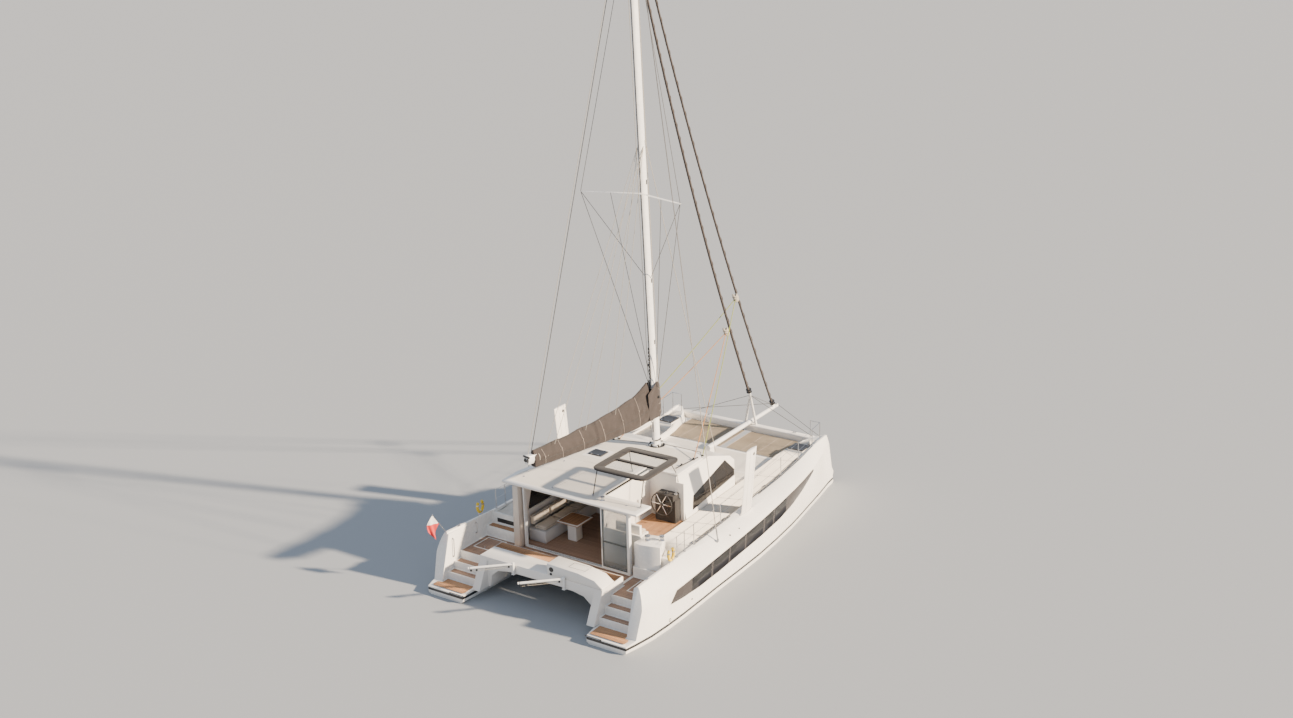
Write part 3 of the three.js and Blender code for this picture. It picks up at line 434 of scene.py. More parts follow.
def finished(piece, name, material, body="boat", angle=32):
    piece.name = piece.data.name = name
    slot, look = finish[material]
    piece.data.materials.clear()
    piece.data.materials.append(look)
    activate(piece)
    bpy.ops.object.shade_smooth_by_angle(angle=math.radians(angle))
    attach(piece, body)
    return piece


def joined(parts):
    deselectAll()
    for part in parts:
        part.select_set(True)
    bpy.context.view_layer.objects.active = parts[0]
    if len(parts) > 1:
        bpy.ops.object.join()
    return bpy.context.object


def assembled(parts, name, material, body="boat"):
    return finished(joined(parts), name, material, body)


def copied(piece, move=(0, 0, 0), mirror=False):
    activate(piece)
    bpy.ops.object.duplicate()
    twin = bpy.context.object
    for key in [k for k in twin.keys() if k.startswith("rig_")]:
        del twin[key]
    twin.parent = None
    twin.matrix_world = Matrix.Identity(4)
    if mirror:
        twin.scale = (-1, 1, 1)
        outwards(settle(twin))
    twin.location = move
    return settle(twin)


def up(height):
    return Vector((0, 0, height))


def flip(sign, point):
    return Vector((sign * point[0], point[1], point[2]))


def ring(count):
    return [math.tau * i / count for i in range(count)]


def rectangle(low, high, inset=0.0):
    left, right, near, far = low[0] + inset, high[0] - inset, low[1] + inset, high[1] - inset
    return [(left, near), (right, near), (right, far), (left, far)]


def atLevel(outline, z):
    return [(x, y, z) for x, y in outline]


def addBox(size, at, bevel=0.0, turn=(0, 0, 0), segments=2):
    deselectAll()
    bpy.ops.mesh.primitive_cube_add(size=1, location=at, rotation=[math.radians(a) for a in turn])
    piece = bpy.context.object
    piece.scale = size
    settle(piece)
    return bevelled(piece, bevel, segments) if bevel else piece


def addRod(start, end, radius, tip=None, sides=10):
    start, end = Vector(start), Vector(end)
    run = end - start
    deselectAll()
    bpy.ops.mesh.primitive_cone_add(
        vertices=sides, radius1=radius, radius2=tip or radius, depth=run.length,
        location=(start + end) / 2, rotation=run.to_track_quat("Z", "Y").to_euler())
    return settle(bpy.context.object)


def addTube(points, radius, closed=False, ring=1):
    deselectAll()
    bpy.ops.curve.primitive_nurbs_path_add()
    path = bpy.context.object
    path.data.splines.clear()
    line = path.data.splines.new("POLY")
    line.points.add(len(points) - 1)
    for mark, place in zip(line.points, points):
        mark.co = (*place, 1)
    line.use_cyclic_u = closed
    path.location = (0, 0, 0)
    path.data.dimensions = "3D"
    path.data.bevel_depth = radius
    path.data.bevel_resolution = ring
    path.data.use_fill_caps = not closed
    bpy.ops.object.convert(target="MESH")
    return settle(bpy.context.object)


def rounded(corners, radius, steps=5, closed=False):
    corners = [Vector(c) for c in corners]
    count = len(corners)
    line = []
    for i, corner in enumerate(corners):
        if not closed and i in (0, count - 1):
            line.append(corner)
            continue
        before, after = corners[i - 1] - corner, corners[(i + 1) % count] - corner
        reach = min(radius, before.length * 0.48, after.length * 0.48)
        start, end = corner + before.normalized() * reach, corner + after.normalized() * reach
        for k in range(steps + 1):
            t = k / steps
            line.append(start * (1 - t) ** 2 + corner * 2 * t * (1 - t) + end * t * t)
    return line


def addPlate(outline, thickness, bevel):
    deselectAll()
    bpy.ops.mesh.primitive_circle_add(vertices=len(outline), fill_type="NGON")
    plate = bpy.context.object
    for corner, place in zip(plate.data.vertices, outline):
        corner.co = place
    lift = {"value": (0, 0, thickness)}
    edited(plate, lambda: bpy.ops.mesh.extrude_region_move(TRANSFORM_OT_translate=lift))
    return bevelled(outwards(plate), bevel)


def addTurned(profile, at, direction=(0, 0, 1), sides=20):
    radius, level = profile[0]
    deselectAll()
    bpy.ops.mesh.primitive_circle_add(vertices=sides, radius=radius, fill_type="NGON", location=(0, 0, level))
    piece = settle(bpy.context.object)

    def grow():
        above, here = level, radius
        for wide, high in profile[1:]:
            bpy.ops.mesh.extrude_region_move(TRANSFORM_OT_translate={"value": (0, 0, high - above)})
            share = wide / here
            bpy.ops.transform.resize(value=(share, share, 1), center_override=(0, 0, high))
            here, above = wide, high

    outwards(edited(piece, grow))
    piece.rotation_euler = Vector(direction).to_track_quat("Z", "Y").to_euler()
    piece.location = at
    return settle(piece)


def addGrid(across, along, shape):
    deselectAll()
    bpy.ops.mesh.primitive_grid_add(x_subdivisions=across, y_subdivisions=along, size=1)
    grid = bpy.context.object
    for point in grid.data.vertices:
        point.co = shape(point.co.x + 0.5, point.co.y + 0.5)
    return grid


def cut(piece, places, normal):
    edited(piece, *[lambda p=place: bpy.ops.mesh.bisect(plane_co=p, plane_no=normal) for place in places])


def materialIndex(piece, material):
    look = finish[material][1]
    if look.name not in piece.data.materials:
        piece.data.materials.append(look)
    return piece.data.materials.find(look.name)


def paint(piece, material, where):
    index = materialIndex(piece, material)
    for face in piece.data.polygons:
        if where(face.center, face.normal):
            face.material_index = index


def inlay(piece, material, where, margin, depth=0.0):
    index = materialIndex(piece, material)
    activate(piece)
    bpy.ops.object.mode_set(mode="EDIT")
    bpy.ops.mesh.select_mode(type="FACE")
    bpy.ops.mesh.select_all(action="DESELECT")
    bpy.ops.object.mode_set(mode="OBJECT")
    for face in piece.data.polygons:
        face.select = bool(where(face.center, face.normal))
    bpy.ops.object.mode_set(mode="EDIT")
    bpy.ops.mesh.inset(thickness=margin, depth=depth, use_boundary=True, use_even_offset=True)
    piece.active_material_index = index
    bpy.ops.object.material_slot_assign()
    bpy.ops.object.mode_set(mode="OBJECT")


def onSurface(piece, place, direction, lift=0.0):
    hit, at, normal, _ = piece.ray_cast(Vector(place), Vector(direction).normalized())
    return at + normal * lift if hit else None


def refined(node, material, width):
    source = nodes[node]
    piece = source.copy()
    piece.data = source.data.copy()
    for key in list(piece.keys()):
        del piece[key]
    piece.parent = None
    bpy.context.scene.collection.objects.link(piece)
    edited(piece, lambda: bpy.ops.mesh.remove_doubles(threshold=0.00005),
           lambda: bpy.ops.mesh.dissolve_limited(angle_limit=math.radians(0.6)))
    if width:
        bevelled(piece, width)
    finished(piece, node + "_skin", material, source["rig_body"])
    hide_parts(node)
    return piece


# Structure: each CAD solid with its finish and the width of its softened edges

# A name that ends in _ stands for both sides
structure = {
    "hull_": ("topside", 0.018), "bridgedeck": ("gelcoat", 0.02), "aft_beam": ("gelcoat", 0.035),
    "aft_locker": ("gelcoat", 0.03), "cabin_front": ("gelcoat", 0.0), "cabin_": ("gelcoat", 0.0),
    "roof": ("gelcoat", 0.028), "roof_post": ("column", 0.02), "helm_bulkhead": ("gelcoat", 0.008),
    "hull_window_": ("band", 0.004), "windscreen": ("frit", 0.0), "window_": ("frit", 0.0),
    "roof_hatch": ("black", 0.006), "fore_hatch_": ("black", 0.01), "engine_hatch_": ("sole", 0.006),
    "engine_": ("iron", 0.02), "daggerboard_": ("gelcoat", 0.01), "rudder_": ("antifoul", 0.003),
    "saildrive_": ("iron", 0.005), "propeller_": ("bronze", 0.004), "guard_rail_": ("steel", 0.0),
    "shroud_": ("wire", 0.0), "davit_": ("spar", 0.004), "crossbeam": ("gelcoat", 0.01),
    "bowsprit": ("spar", 0.006), "striker": ("spar", 0.006), "door_frame": ("spar", 0.004),
    "sofa_base": ("sofa", 0.03), "table": ("gelcoat", 0.012), "helm_seat": ("gelcoat", 0.02),
    "helm_console": ("charcoal", 0.03), "steering_wheel": ("steel", 0.0), "bimini_frame": ("charcoal", 0.018),
    "bimini_panel": ("clear", 0.0), "mast": ("spar", 0.006), "spreaders": ("spar", 0.006),
    "boom": ("spar", 0.015), "furled_jib": ("sailCover", 0.0), "furled_genoa": ("sailCover", 0.0),
    "door_leaf_1": ("spar", 0.0), "door_leaf_2": ("spar", 0.0), "door_leaf_3": ("spar", 0.0),
}
skins = {}
for name, (material, width) in structure.items():
    for end in ([side for _, side in boatSides] if name.endswith("_") else [""]):
        skins[name + end] = refined(name + end, material, width)
print("structure refined:", len(skins))

# Hulls: boot stripe, antifouling, non-slip decks, planked steps and soles

hullFinish = {
    "waterline": 0.0, "stripe": (0.15, 0.24), "flat": 0.97, "near": 0.012, "depth": -0.004,
    "planked": ((0.56, "sole", 0.055), (0.80, "sole", 0.055), (1.05, "sole", 0.035), (1.40, "teak", 0.055)),
    "deckEdge": 0.05, "deckEnds": (-4.4, 6.6), "railGap": 0.08, "railDrop": 0.03,
}
# Where the outer rail runs: station y, rail x, rail z
railStations = (
    (-6.40, 3.85, 1.89), (-4.70, 3.74, 1.84), (-2.50, 3.66, 1.82), (0.30, 3.58, 1.85),
    (2.90, 3.49, 1.90), (4.70, 3.38, 1.97), (6.10, 3.29, 2.06), (7.00, 3.30, 2.12),
)


def railAt(y):
    for (y0, x0, z0), (y1, x1, z1) in zip(railStations, railStations[1:]):
        if y <= y1:
            t = (y - y0) / (y1 - y0)
            return x0 + (x1 - x0) * t, z0 + (z1 - z0) * t
    return railStations[-1][1:]


def finishHull(hull):
    h = hullFinish
    low, high = h["stripe"]
    cut(hull, [(0, 0, level) for level in (h["waterline"], low, high)], (0, 0, 1))
    paint(hull, "stripe", lambda c, n: low < c.z < high)
    paint(hull, "antifoul", lambda c, n: c.z < h["waterline"])
    for level, material, edge in h["planked"]:
        inlay(hull, material, lambda c, n: n.z > h["flat"] and abs(c.z - level) < h["near"], edge, h["depth"])

    def deckFace(c, n):
        if not (n.z > 0.9 and h["deckEnds"][0] < c.y < h["deckEnds"][1] and c.z > 1.7):
            return False
        x, z = railAt(c.y)
        return abs(c.x) < x - h["railGap"] and c.z < z - h["railDrop"]

    inlay(hull, "deck", deckFace, h["deckEdge"])


for _, side in boatSides:
    finishHull(skins["hull_" + side])
platformPad = {
    "outline": ((2.53, -6.90), (3.65, -6.90), (3.65, -7.17), (3.84, -7.21), (3.84, -7.46), (2.53, -7.46)),
    "corner": 0.05, "level": 0.319, "thickness": 0.009, "bevel": 0.002,
}
padLine = rounded(atLevel(platformPad["outline"], platformPad["level"]), platformPad["corner"], 4, True)
pad = addPlate(padLine, platformPad["thickness"], platformPad["bevel"])
padPort = copied(pad, mirror=True)
finished(pad, "platform_planks_starboard", "teak")
finished(padPort, "platform_planks_port", "teak")
bridgedeck = skins["bridgedeck"]
inlay(bridgedeck, "sole", lambda c, n: n.z > 0.97 and abs(c.z - 1.05) < 0.01, 0.04)
inlay(bridgedeck, "teakFore", lambda c, n: n.z > 0.97 and c.z > 1.65 and c.y < -1 and c.x > 0.9, 0.04)
inlay(bridgedeck, "deck", lambda c, n: n.z > 0.97 and c.z > 1.65 and c.y > 2.5, 0.10)
# Thin panels over the open front corners: finish, level, thickness, edge, outline
cornerPanels = {
    "foredeck_corner_panels": ("deck", 1.66, 0.04, 0.004, ((2.47, 1.66), (1.44, 2.99), (2.47, 2.99))),
    "roof_corner_panels": ("gelcoat", 3.236, 0.03, 0.003, ((2.0, 0.0), (1.62, 0.485), (2.0, 0.485))),
}
for name, (material, level, thickness, edge, outline) in cornerPanels.items():
    panels = [addPlate([(sign * x, y, level) for x, y in outline], thickness, edge) for sign, _ in boatSides]
    assembled(panels, name, material)

# Aft beam: a planked seat ahead of the locker

seatBack = -5.88
cut(skins["aft_beam"], [(0, seatBack, 0)], (0, 1, 0))
inlay(skins["aft_beam"], "teak", lambda c, n: n.z > 0.9 and c.z > 1.3 and c.y > seatBack, 0.035, -0.003)
print("hulls and decks finished")

# Hull side windows: panes let into the dark band, with mullions between

hullPanes = {
    "spans": ((-4.26, -3.02), (-2.98, -1.92), (-1.88, -0.87), (-0.83, 0.43), (0.47, 1.18), (1.22, 2.23)),
    "margin": 0.028, "depth": 0.002,
}
for sign, side in boatSides:
    band = skins["hull_window_" + side]
    cut(band, [(0, y, 0) for span in hullPanes["spans"] for y in span], (0, 1, 0))
    for low, high in hullPanes["spans"]:
        inside = lambda c, n: n.x * sign > 0.6 and low < c.y < high
        inlay(band, "pane", inside, hullPanes["margin"], hullPanes["depth"])

# Cabin glazing: a black printed edge round smoked glass, with mullions

glazing = {
    "edge": 0.035, "mullion": 0.03,
    "windscreen": (-0.70, 0.0, 0.70), "port": (-2.75, -1.2), "starboard": (0.55,),
}


def glaze(pane, facing, marks, axis):
    normal = [int(i == axis) for i in range(3)]
    stops = [mark + offset for mark in marks for offset in (-glazing["mullion"], glazing["mullion"])]
    cut(pane, [[stop * n for n in normal] for stop in stops], normal)
    edges = [-9, *stops, 9]
    for low, high in zip(edges[::2], edges[1::2]):
        inlay(pane, "smoked", lambda c, n: facing(n) and low < c[axis] < high, glazing["edge"])


glaze(skins["windscreen"], lambda n: abs(n.z) > 0.4, glazing["windscreen"], 0)
for _, side in boatSides:
    glaze(skins["window_" + side], lambda n: abs(n.x) > 0.7, glazing[side], 1)

# Door: glass and dark gaskets in each leaf, a handle rail, track grooves in the sill

doorForm = {
    "stile": 0.055, "gasket": 0.006, "rail": 2.02, "railHeight": 0.035, "pullInset": 0.03, "pullReach": 0.012,
    "pull": (1.75, 2.15), "grooves": (-4.702, -4.732, -4.762), "sill": 1.0825,
}
stile = doorForm["stile"]
for leaf in ("door_leaf_1", "door_leaf_2", "door_leaf_3"):
    inlay(skins[leaf], "clear", lambda c, n: abs(n.y) > 0.9, stile)
    low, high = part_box(leaf)
    corners = rectangle((low.x, low.z), (high.x, high.z), stile)
    gaskets = [addTube([(x, y, z) for x, z in corners], doorForm["gasket"], True) for y in (low.y, high.y)]
    gaskets.append(addBox((high.x - low.x - 2 * stile, high.y - low.y - 0.006, doorForm["railHeight"]),
                          ((low.x + high.x) / 2, (low.y + high.y) / 2, doorForm["rail"]), 0.004))
    assembled(gaskets, leaf + "_gasket", "seal", leaf)
inlay(skins["door_frame"], "clear", lambda c, n: abs(n.y) > 0.9 and 1.3 < c.x < 2.2 and 1.3 < c.z < 3.0, 0.02)
low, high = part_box("door_leaf_3")
pullX, front, (foot, top) = low.x + doorForm["pullInset"], low.y - doorForm["pullReach"], doorForm["pull"]
pull = [(pullX, low.y, foot), (pullX, front, foot), (pullX, front, top), (pullX, low.y, top)]
finished(addTube(rounded(pull, 0.008), 0.006, ring=2), "door_pull", "black", "door_leaf_3")
grooves = [addBox((4.0, 0.006, 0.004), (0.13, y, doorForm["sill"]), 0.001) for y in doorForm["grooves"]]
assembled(grooves, "door_track_grooves", "seal")

# Deck hatches: tinted acrylic in a thin frame, with handles and hinges

foreHatch = (0.045, -0.005)
hatches = {"roof_hatch": (0.035, -0.004), "fore_hatch_port": foreHatch, "fore_hatch_starboard": foreHatch}
hatchParts = {
    "hinge": (0.07, 0.035, 0.014), "knob": [(0.018, 0), (0.018, 0.012), (0.011, 0.018)], "apart": 0.15,
    "liftRing": [(0.032, 0), (0.032, 0.004), (0.026, 0.005), (0.024, 0.002), (0.008, 0.001)],
}
for node, (edge, depth) in hatches.items():
    inlay(skins[node], "smoked", lambda c, n: n.z > 0.95, edge, depth)
    low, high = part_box(node)
    fittings = []
    for x in [(low.x + high.x) / 2 + offset for offset in (-hatchParts["apart"], hatchParts["apart"])]:
        fittings.append(addBox(hatchParts["hinge"], (x, high.y - 0.02, high.z + 0.004), 0.004))
        fittings.append(addTurned(hatchParts["knob"], (x, low.y + 0.02, high.z - 0.001)))
    assembled(fittings, node + "_fittings", "steel", node)
for _, side in boatSides:
    node = "engine_hatch_" + side
    inlay(skins[node], "sole", lambda c, n: n.z > 0.95, 0.012, -0.002)
    low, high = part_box(node)
    lift = addTurned(hatchParts["liftRing"], ((low.x + high.x) / 2, low.y + 0.09, high.z - 0.0015))
    finished(lift, node + "_lift_ring", "steel", node)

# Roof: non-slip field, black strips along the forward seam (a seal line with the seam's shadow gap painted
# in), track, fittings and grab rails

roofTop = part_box("roof")[1].z
roofForm = {
    "fieldEdge": 0.17,
    "seals": (((-1.98, -0.16), (-0.22, 0.30)), ((0.24, 0.485), (1.68, 0.485)), ((1.68, 0.485), (1.99, 0.10))),
    "joints": (((-2.45, -2.3), (0.6, -2.05)), ((-0.85, -4.85), (-0.62, -0.4))),
    "track": ((1.73, -1.15), (1.86, 0.02)), "trackWidth": 0.032, "trackHeight": 0.026, "cars": (0.25, 0.8),
    "car": (0.13, 0.062, 0.035),
    "sheave": [(0.032, 0), (0.036, 0.01), (0.022, 0.018), (0.036, 0.028), (0.030, 0.036)],
    "studs": ((-1.92, -2.55), (-0.93, -4.55), (0.55, -4.3), (2.0, -4.5),
              (-2.3, -4.3), (-0.55, -0.9), (0.65, -0.75)),
    "stud": [(0.034, 0), (0.034, 0.006), (0.022, 0.014), (0.020, 0.024), (0.012, 0.030)],
    "rails": (((-2.42, -3.9), (-2.24, -2.5)), ((-2.18, -2.1), (-2.0, -0.7))),
    "railTop": up(0.07), "railRadius": 0.011, "railFoot": [(0.030, 0), (0.030, 0.005), (0.018, 0.010)],
}
inlay(skins["roof"], "deck", lambda c, n: n.z > 0.97, roofForm["fieldEdge"])


def onRoof(place, lift=0.0):
    return Vector((place[0], place[1], roofTop + lift))


# The strips along the forward seam are black: a seal line there, with the seam's shadow gap painted in as
# black
for lines, lift, radius in (("seals", 0.003, 0.009), ("joints", -0.001, 0.003)):
    strips = [addTube([onRoof(a, lift), onRoof(b, lift)], radius) for a, b in roofForm[lines]]
    assembled(strips, "roof_" + lines, "seal")

start, end = [onRoof(place) for place in roofForm["track"]]
run = end - start
turn = (0, 0, math.degrees(math.atan2(run.y, run.x)))
width, height = roofForm["trackWidth"], roofForm["trackHeight"]
parts = [addBox((run.length, width, height), (start + end) / 2 + up(height / 2), 0.005, turn)]
for share in roofForm["cars"]:
    at = start + run * share + up(height)
    parts.append(addBox(roofForm["car"], at, 0.008, turn))
    parts.append(addTurned(roofForm["sheave"], at + up(0.015)))
for share in (0.01, 0.99):
    at = start + run * share + up(height * 0.6)
    parts.append(addBox((0.03, width * 1.4, height * 1.3), at, 0.004, turn))
assembled(parts, "roof_track", "black")
studs = [addTurned(roofForm["stud"], onRoof(place, -0.001)) for place in roofForm["studs"]]
assembled(studs, "roof_deck_fittings", "steel")
grabs = []
for a, b in [(onRoof(start), onRoof(end)) for start, end in roofForm["rails"]]:
    middle, top = (a + b) / 2, roofForm["railTop"]
    grabs.append(addTube(rounded([a, a + top, b + top, b], 0.05), roofForm["railRadius"], ring=2))
    grabs.append(addRod(middle, middle + top, roofForm["railRadius"]))
    grabs += [addTurned(roofForm["railFoot"], foot) for foot in (a, middle, b)]
assembled(grabs, "roof_grab_rails", "steel")
print("windows, hatches and roof finished")

# Bimini: edge piping and foot plates

bimini = {
    "top": 4.251, "ends": (-4.28, -2.12), "inset": 0.03, "corner": 0.2, "piping": 0.006,
    "feet": ((0.62, -4.42), (2.48, -4.42), (0.60, -2.10)),
    "foot": [(0.042, 0), (0.042, 0.006), (0.026, 0.014), (0.022, 0.05)],
}
low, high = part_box("bimini_frame")
aftEnd, foreEnd = bimini["ends"]
outline = atLevel(rectangle((low.x, aftEnd), (high.x, foreEnd), bimini["inset"]), bimini["top"])
piping = addTube(rounded(outline, bimini["corner"], 6, True), bimini["piping"], True)
finished(piping, "bimini_piping", "seal")
feet = [addTurned(bimini["foot"], (x, y, roofTop - 0.001)) for x, y in bimini["feet"]]
assembled(feet, "bimini_feet", "steel")
print("bimini finished")

# Where things stand on the raked mast and along the swung boom

mastForm = {"foot": (0.30, 3.35), "rake": 2.7, "halfWidth": 0.105, "aft": -0.170}
mastSlope = math.tan(math.radians(mastForm["rake"]))
boomForm = {
    "pivot": (0, -0.00856, 4.38), "heading": 10, "rise": 0.06, "length": 5.80,
    "sheave": [(0.075, -0.02), (0.058, -0.006), (0.058, 0.006), (0.075, 0.02)], "sheaveAside": 0.055,
    "strop": (0.30, 0.05, 0.06), "gooseneck": (0.11, 0.14, 0.16),
    "loops": (5.35, 5.0, 4.4), "loopSize": (0.155, 0.165), "loopRadius": 0.016,
}
heading = math.radians(boomForm["heading"])
boomAlong = Vector((-math.sin(heading), -math.cos(heading), boomForm["rise"]))
boomSide = Vector((math.cos(heading), -math.sin(heading), 0))
boomPivot = Vector(boomForm["pivot"])
boomTurn = (0, 0, -boomForm["heading"])


def onMast(z, aside=0.0, ahead=0.0):
    footY, footZ = mastForm["foot"]
    return Vector((aside, footY - mastSlope * (z - footZ) + ahead, z))


def onBoom(along, aside, above):
    return boomPivot + boomAlong * along + boomSide * aside + up(above)


def boomPlace(point):
    reach = Vector(point) - boomPivot
    along = reach.dot(Vector((boomAlong.x, boomAlong.y, 0)))
    return along, reach.dot(boomSide), reach.z - along * boomForm["rise"]


# Sail bag: a sagging shell on the boom, with its zip, hem and straps

bagForm = {
    "voxel": 0.035, "foldDepth": 0.022, "sag": 0.035, "bays": 1.15, "bayDepth": 0.012,
    "cadTop": ((0.19, 1.50), (0.90, 1.18), (2.40, 0.86), (4.20, 0.64), (5.55, 0.44)), "cadBottom": 0.13,
    "top": ((0.19, 1.46), (0.90, 1.04), (2.40, 0.68), (4.20, 0.42), (5.55, 0.30)),
    "bottom": ((0.19, 0.02), (1.0, -0.10), (2.2, -0.17), (4.2, -0.27), (5.55, -0.32)),
    "zipHeight": 0.34, "zipRadius": 0.008, "hemHeight": 0.86, "hemRadius": 0.005, "step": 0.13,
    "straps": (0.75, 1.55, 2.45, 3.4, 4.35, 5.1), "strapRadius": 0.009, "strapLean": 0.10,
    "buckle": (0.045, 0.03, 0.05), "lift": 0.004,
}


def between(stations, along):
    for (a0, h0), (a1, h1) in zip(stations, stations[1:]):
        if along <= a1:
            return h0 + (h1 - h0) * max(along - a0, 0) / (a1 - a0)
    return stations[-1][1]


def bagTop(along):
    return between(bagForm["top"], along)


def bagBottom(along):
    return between(bagForm["bottom"], along)


def remeshed(piece, voxel):
    activate(piece)
    piece.data.remesh_voxel_size = voxel
    bpy.ops.object.voxel_remesh()
    return piece


def makeBag():
    shell = copied(nodes["sail_bag"])
    shell.hide_render = False
    remeshed(shell, bagForm["voxel"])
    base = bagForm["cadBottom"]
    for point in shell.data.vertices:
        along, aside, above = boomPlace(point.co)
        cadTop = between(bagForm["cadTop"], along)
        share = min(max((above - base) / (cadTop - base), 0), 1)
        point.co.z -= (base - bagBottom(along)) * (1 - share) + (cadTop - bagTop(along)) * share
        belly = 4 * share * (1 - share)
        bay = math.sin(math.pi * along / bagForm["bays"]) ** 2
        crease = math.sin(9 * along + 5 * share) * 0.5 + math.sin(17 * along - 7 * share + 1.3) * 0.3
        slack = math.sin(4.1 * along + 11 * share + (0.8 if aside > 0 else 2.1)) * 0.4
        gather = 1 + 1.6 * max(0, 1 - along / 1.3)
        push = bagForm["foldDepth"] * belly * (crease + slack) * gather - bagForm["bayDepth"] * bay * belly
        point.co += boomSide * math.copysign(push, aside)
        point.co.z -= bagForm["sag"] * bay * share ** 3
    edited(settle(shell), lambda: bpy.ops.mesh.vertices_smooth(factor=0.5, repeat=4))
    return subdivided(shell)


bag = makeBag()


def bagRun(places, aside):
    run = [onSurface(bag, onBoom(along, aside * 1.2, above), boomSide * -aside, bagForm["lift"])
           for along, above in places]
    return [place for place in run if place]


zipRun = [(s, bagBottom(s) + (bagTop(s) - bagBottom(s)) * bagForm["zipHeight"])
          for s in [0.35 + bagForm["step"] * i for i in range(39)]]
hemRun = [(s, bagTop(s) * bagForm["hemHeight"]) for s in [0.30 + bagForm["step"] * i for i in range(40)]]
trims, straps = [], []
for aside, _ in boatSides:
    trims.append(addTube(bagRun(zipRun, aside), bagForm["zipRadius"]))
    trims.append(addTube(bagRun(hemRun, aside), bagForm["hemRadius"]))
assembled(trims, "bag_zip_and_hem", "seal", "boom")
for along in bagForm["straps"]:
    low, high = bagBottom(along) + 0.05, bagTop(along) * 0.9
    for aside, _ in boatSides:
        shares = [i / 9 for i in range(10)]
        run = bagRun([(along + bagForm["strapLean"] * s, low + (high - low) * s) for s in shares], aside)
        straps.append(addTube(run, bagForm["strapRadius"]))
        straps.append(addBox(bagForm["buckle"], run[len(run) // 2], 0.006, boomTurn))
assembled(straps, "bag_straps", "strap", "boom")
finished(bag, "sail_bag_shell", "canvas", "boom", 60)
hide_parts("sail_bag")

# The bag's chin: a slanted sleeve that wraps round the front of the mast, laced across it

chinForm = {
    "low": 4.46, "high": 5.80, "half": 0.170, "front": 0.30, "wings": 0.58, "flare": 0.045, "tuck": 0.06,
    "frontDrop": 0.42, "wingDrop": 0.62, "frontLift": 0.12, "taper": 0.09, "wall": 0.006,
    "laces": (0.15, 0.36, 0.57, 0.78), "laceRadius": 0.006, "laceLift": 0.008,
}


def chinPoint(turn, rise):
    if abs(turn) <= 0.5:
        a = math.pi * turn
        aside, ahead = math.sin(a) * chinForm["half"], math.cos(a) * chinForm["front"]
    else:
        back = (abs(turn) - 0.5) * 2
        aside = math.copysign(chinForm["half"] + chinForm["flare"] * back, turn) - chinForm["tuck"] * back
        ahead = -chinForm["wings"] * back
    fore = max(0, ahead / chinForm["front"])
    low = chinForm["low"] + chinForm["frontLift"] * fore
    high = chinForm["high"] - chinForm["frontDrop"] * fore ** 1.3 - chinForm["wingDrop"] * max(0, -ahead)
    pucker = 0.011 * math.sin(15 * turn + 9 * rise) + 0.009 * math.sin(23 * rise + 7 * turn)
    reach = 1 - chinForm["taper"] * rise + pucker / 0.3
    return onMast(low + (high - low) * rise, aside * reach, ahead * (reach if ahead > 0 else 1))


def bent(piece):
    piece.parent = None
    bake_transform(piece)


sleeve = addGrid(40, 14, lambda u, v: chinPoint(u * 2 - 1, v))
sleeve = outwards(subdivided(modified(sleeve, "SOLIDIFY", thickness=chinForm["wall"])))
finished(sleeve, "sail_bag_chin", "canvas", angle=60)
laces = []
for rise in chinForm["laces"]:
    run = [chinPoint(-0.5 + i / 24, rise) for i in range(25)]
    middle = Vector((0, run[0].y, 0))
    run = [p + (Vector((p.x, p.y, 0)) - middle).normalized() * chinForm["laceLift"] for p in run]
    laces.append(addTube(run, chinForm["laceRadius"]))
for piece in (sleeve, assembled(laces, "bag_chin_laces", "strap")):
    bent(piece)

# Boom end, gooseneck and strap loops

length = boomForm["length"]
ends = [addTurned(boomForm["sheave"], onBoom(length - 0.03, sign * boomForm["sheaveAside"], -0.02), boomSide)
        for sign, _ in boatSides]
ends.append(addBox(boomForm["strop"], onBoom(length - 0.01, 0, 0.10), 0.012, boomTurn))
ends.append(addBox(boomForm["gooseneck"], onBoom(0.095, 0, 0.0), 0.02, boomTurn))
assembled(ends, "boom_end_sheaves", "black", "boom")
wide, tall = boomForm["loopSize"]
loops = [[onBoom(along, wide * math.cos(a), tall * math.sin(a) - 0.005) for a in ring(20)]
         for along in boomForm["loops"]]
assembled([addTube(loop, boomForm["loopRadius"], True) for loop in loops], "boom_strap_loops", "rope", "boom")

# Mast: sail track, collars, winches, sheaves, masthead crane, foot blocks

mastParts = {
    "track": (3.9, 21.9), "trackRadius": 0.014, "cars": [5.95 + 0.13 * i for i in range(9)],
    "car": (0.05, 0.05, 0.10), "collars": (3.37, 3.57), "collar": [(0.165, 0), (0.165, 0.02), (0.150, 0.03)],
    "winches": ((4.9, -1), (5.2, 1), (6.3, -1)),
    "winch": [(0.055, 0), (0.055, 0.02), (0.035, 0.03), (0.038, 0.08), (0.052, 0.09), (0.040, 0.11)],
    "exits": (7.2, 9.4, 12.8, 19.8), "exit": (0.03, 0.05, 0.16), "wall": 0.10,
    "crane": (0.16, 0.52, 0.05), "wheelsAt": (-0.27, 0.19),
    "wheel": [(0.05, -0.02), (0.038, 0), (0.05, 0.02)],
    "footBlock": (0.05, 0.07, 0.09), "footRing": 0.24, "footPlate": [(0.30, 0), (0.30, 0.012), (0.20, 0.022)],
}
aft, wall = mastForm["aft"], mastParts["wall"]
low, high = mastParts["track"]
track = [addTube([onMast(low, 0, aft - 0.008), onMast(high, 0, aft - 0.008)], mastParts["trackRadius"])]
track += [addBox(mastParts["car"], onMast(z, 0, aft - 0.03), 0.01) for z in mastParts["cars"]]
assembled(track, "mast_track", "black")
fittings = [addTurned(mastParts["collar"], onMast(z), (0, -mastSlope, 1), 28) for z in mastParts["collars"]]
fittings += [addTurned(mastParts["winch"], onMast(z, sign * mastForm["halfWidth"]), (sign, 0, 0))
             for z, sign in mastParts["winches"]]
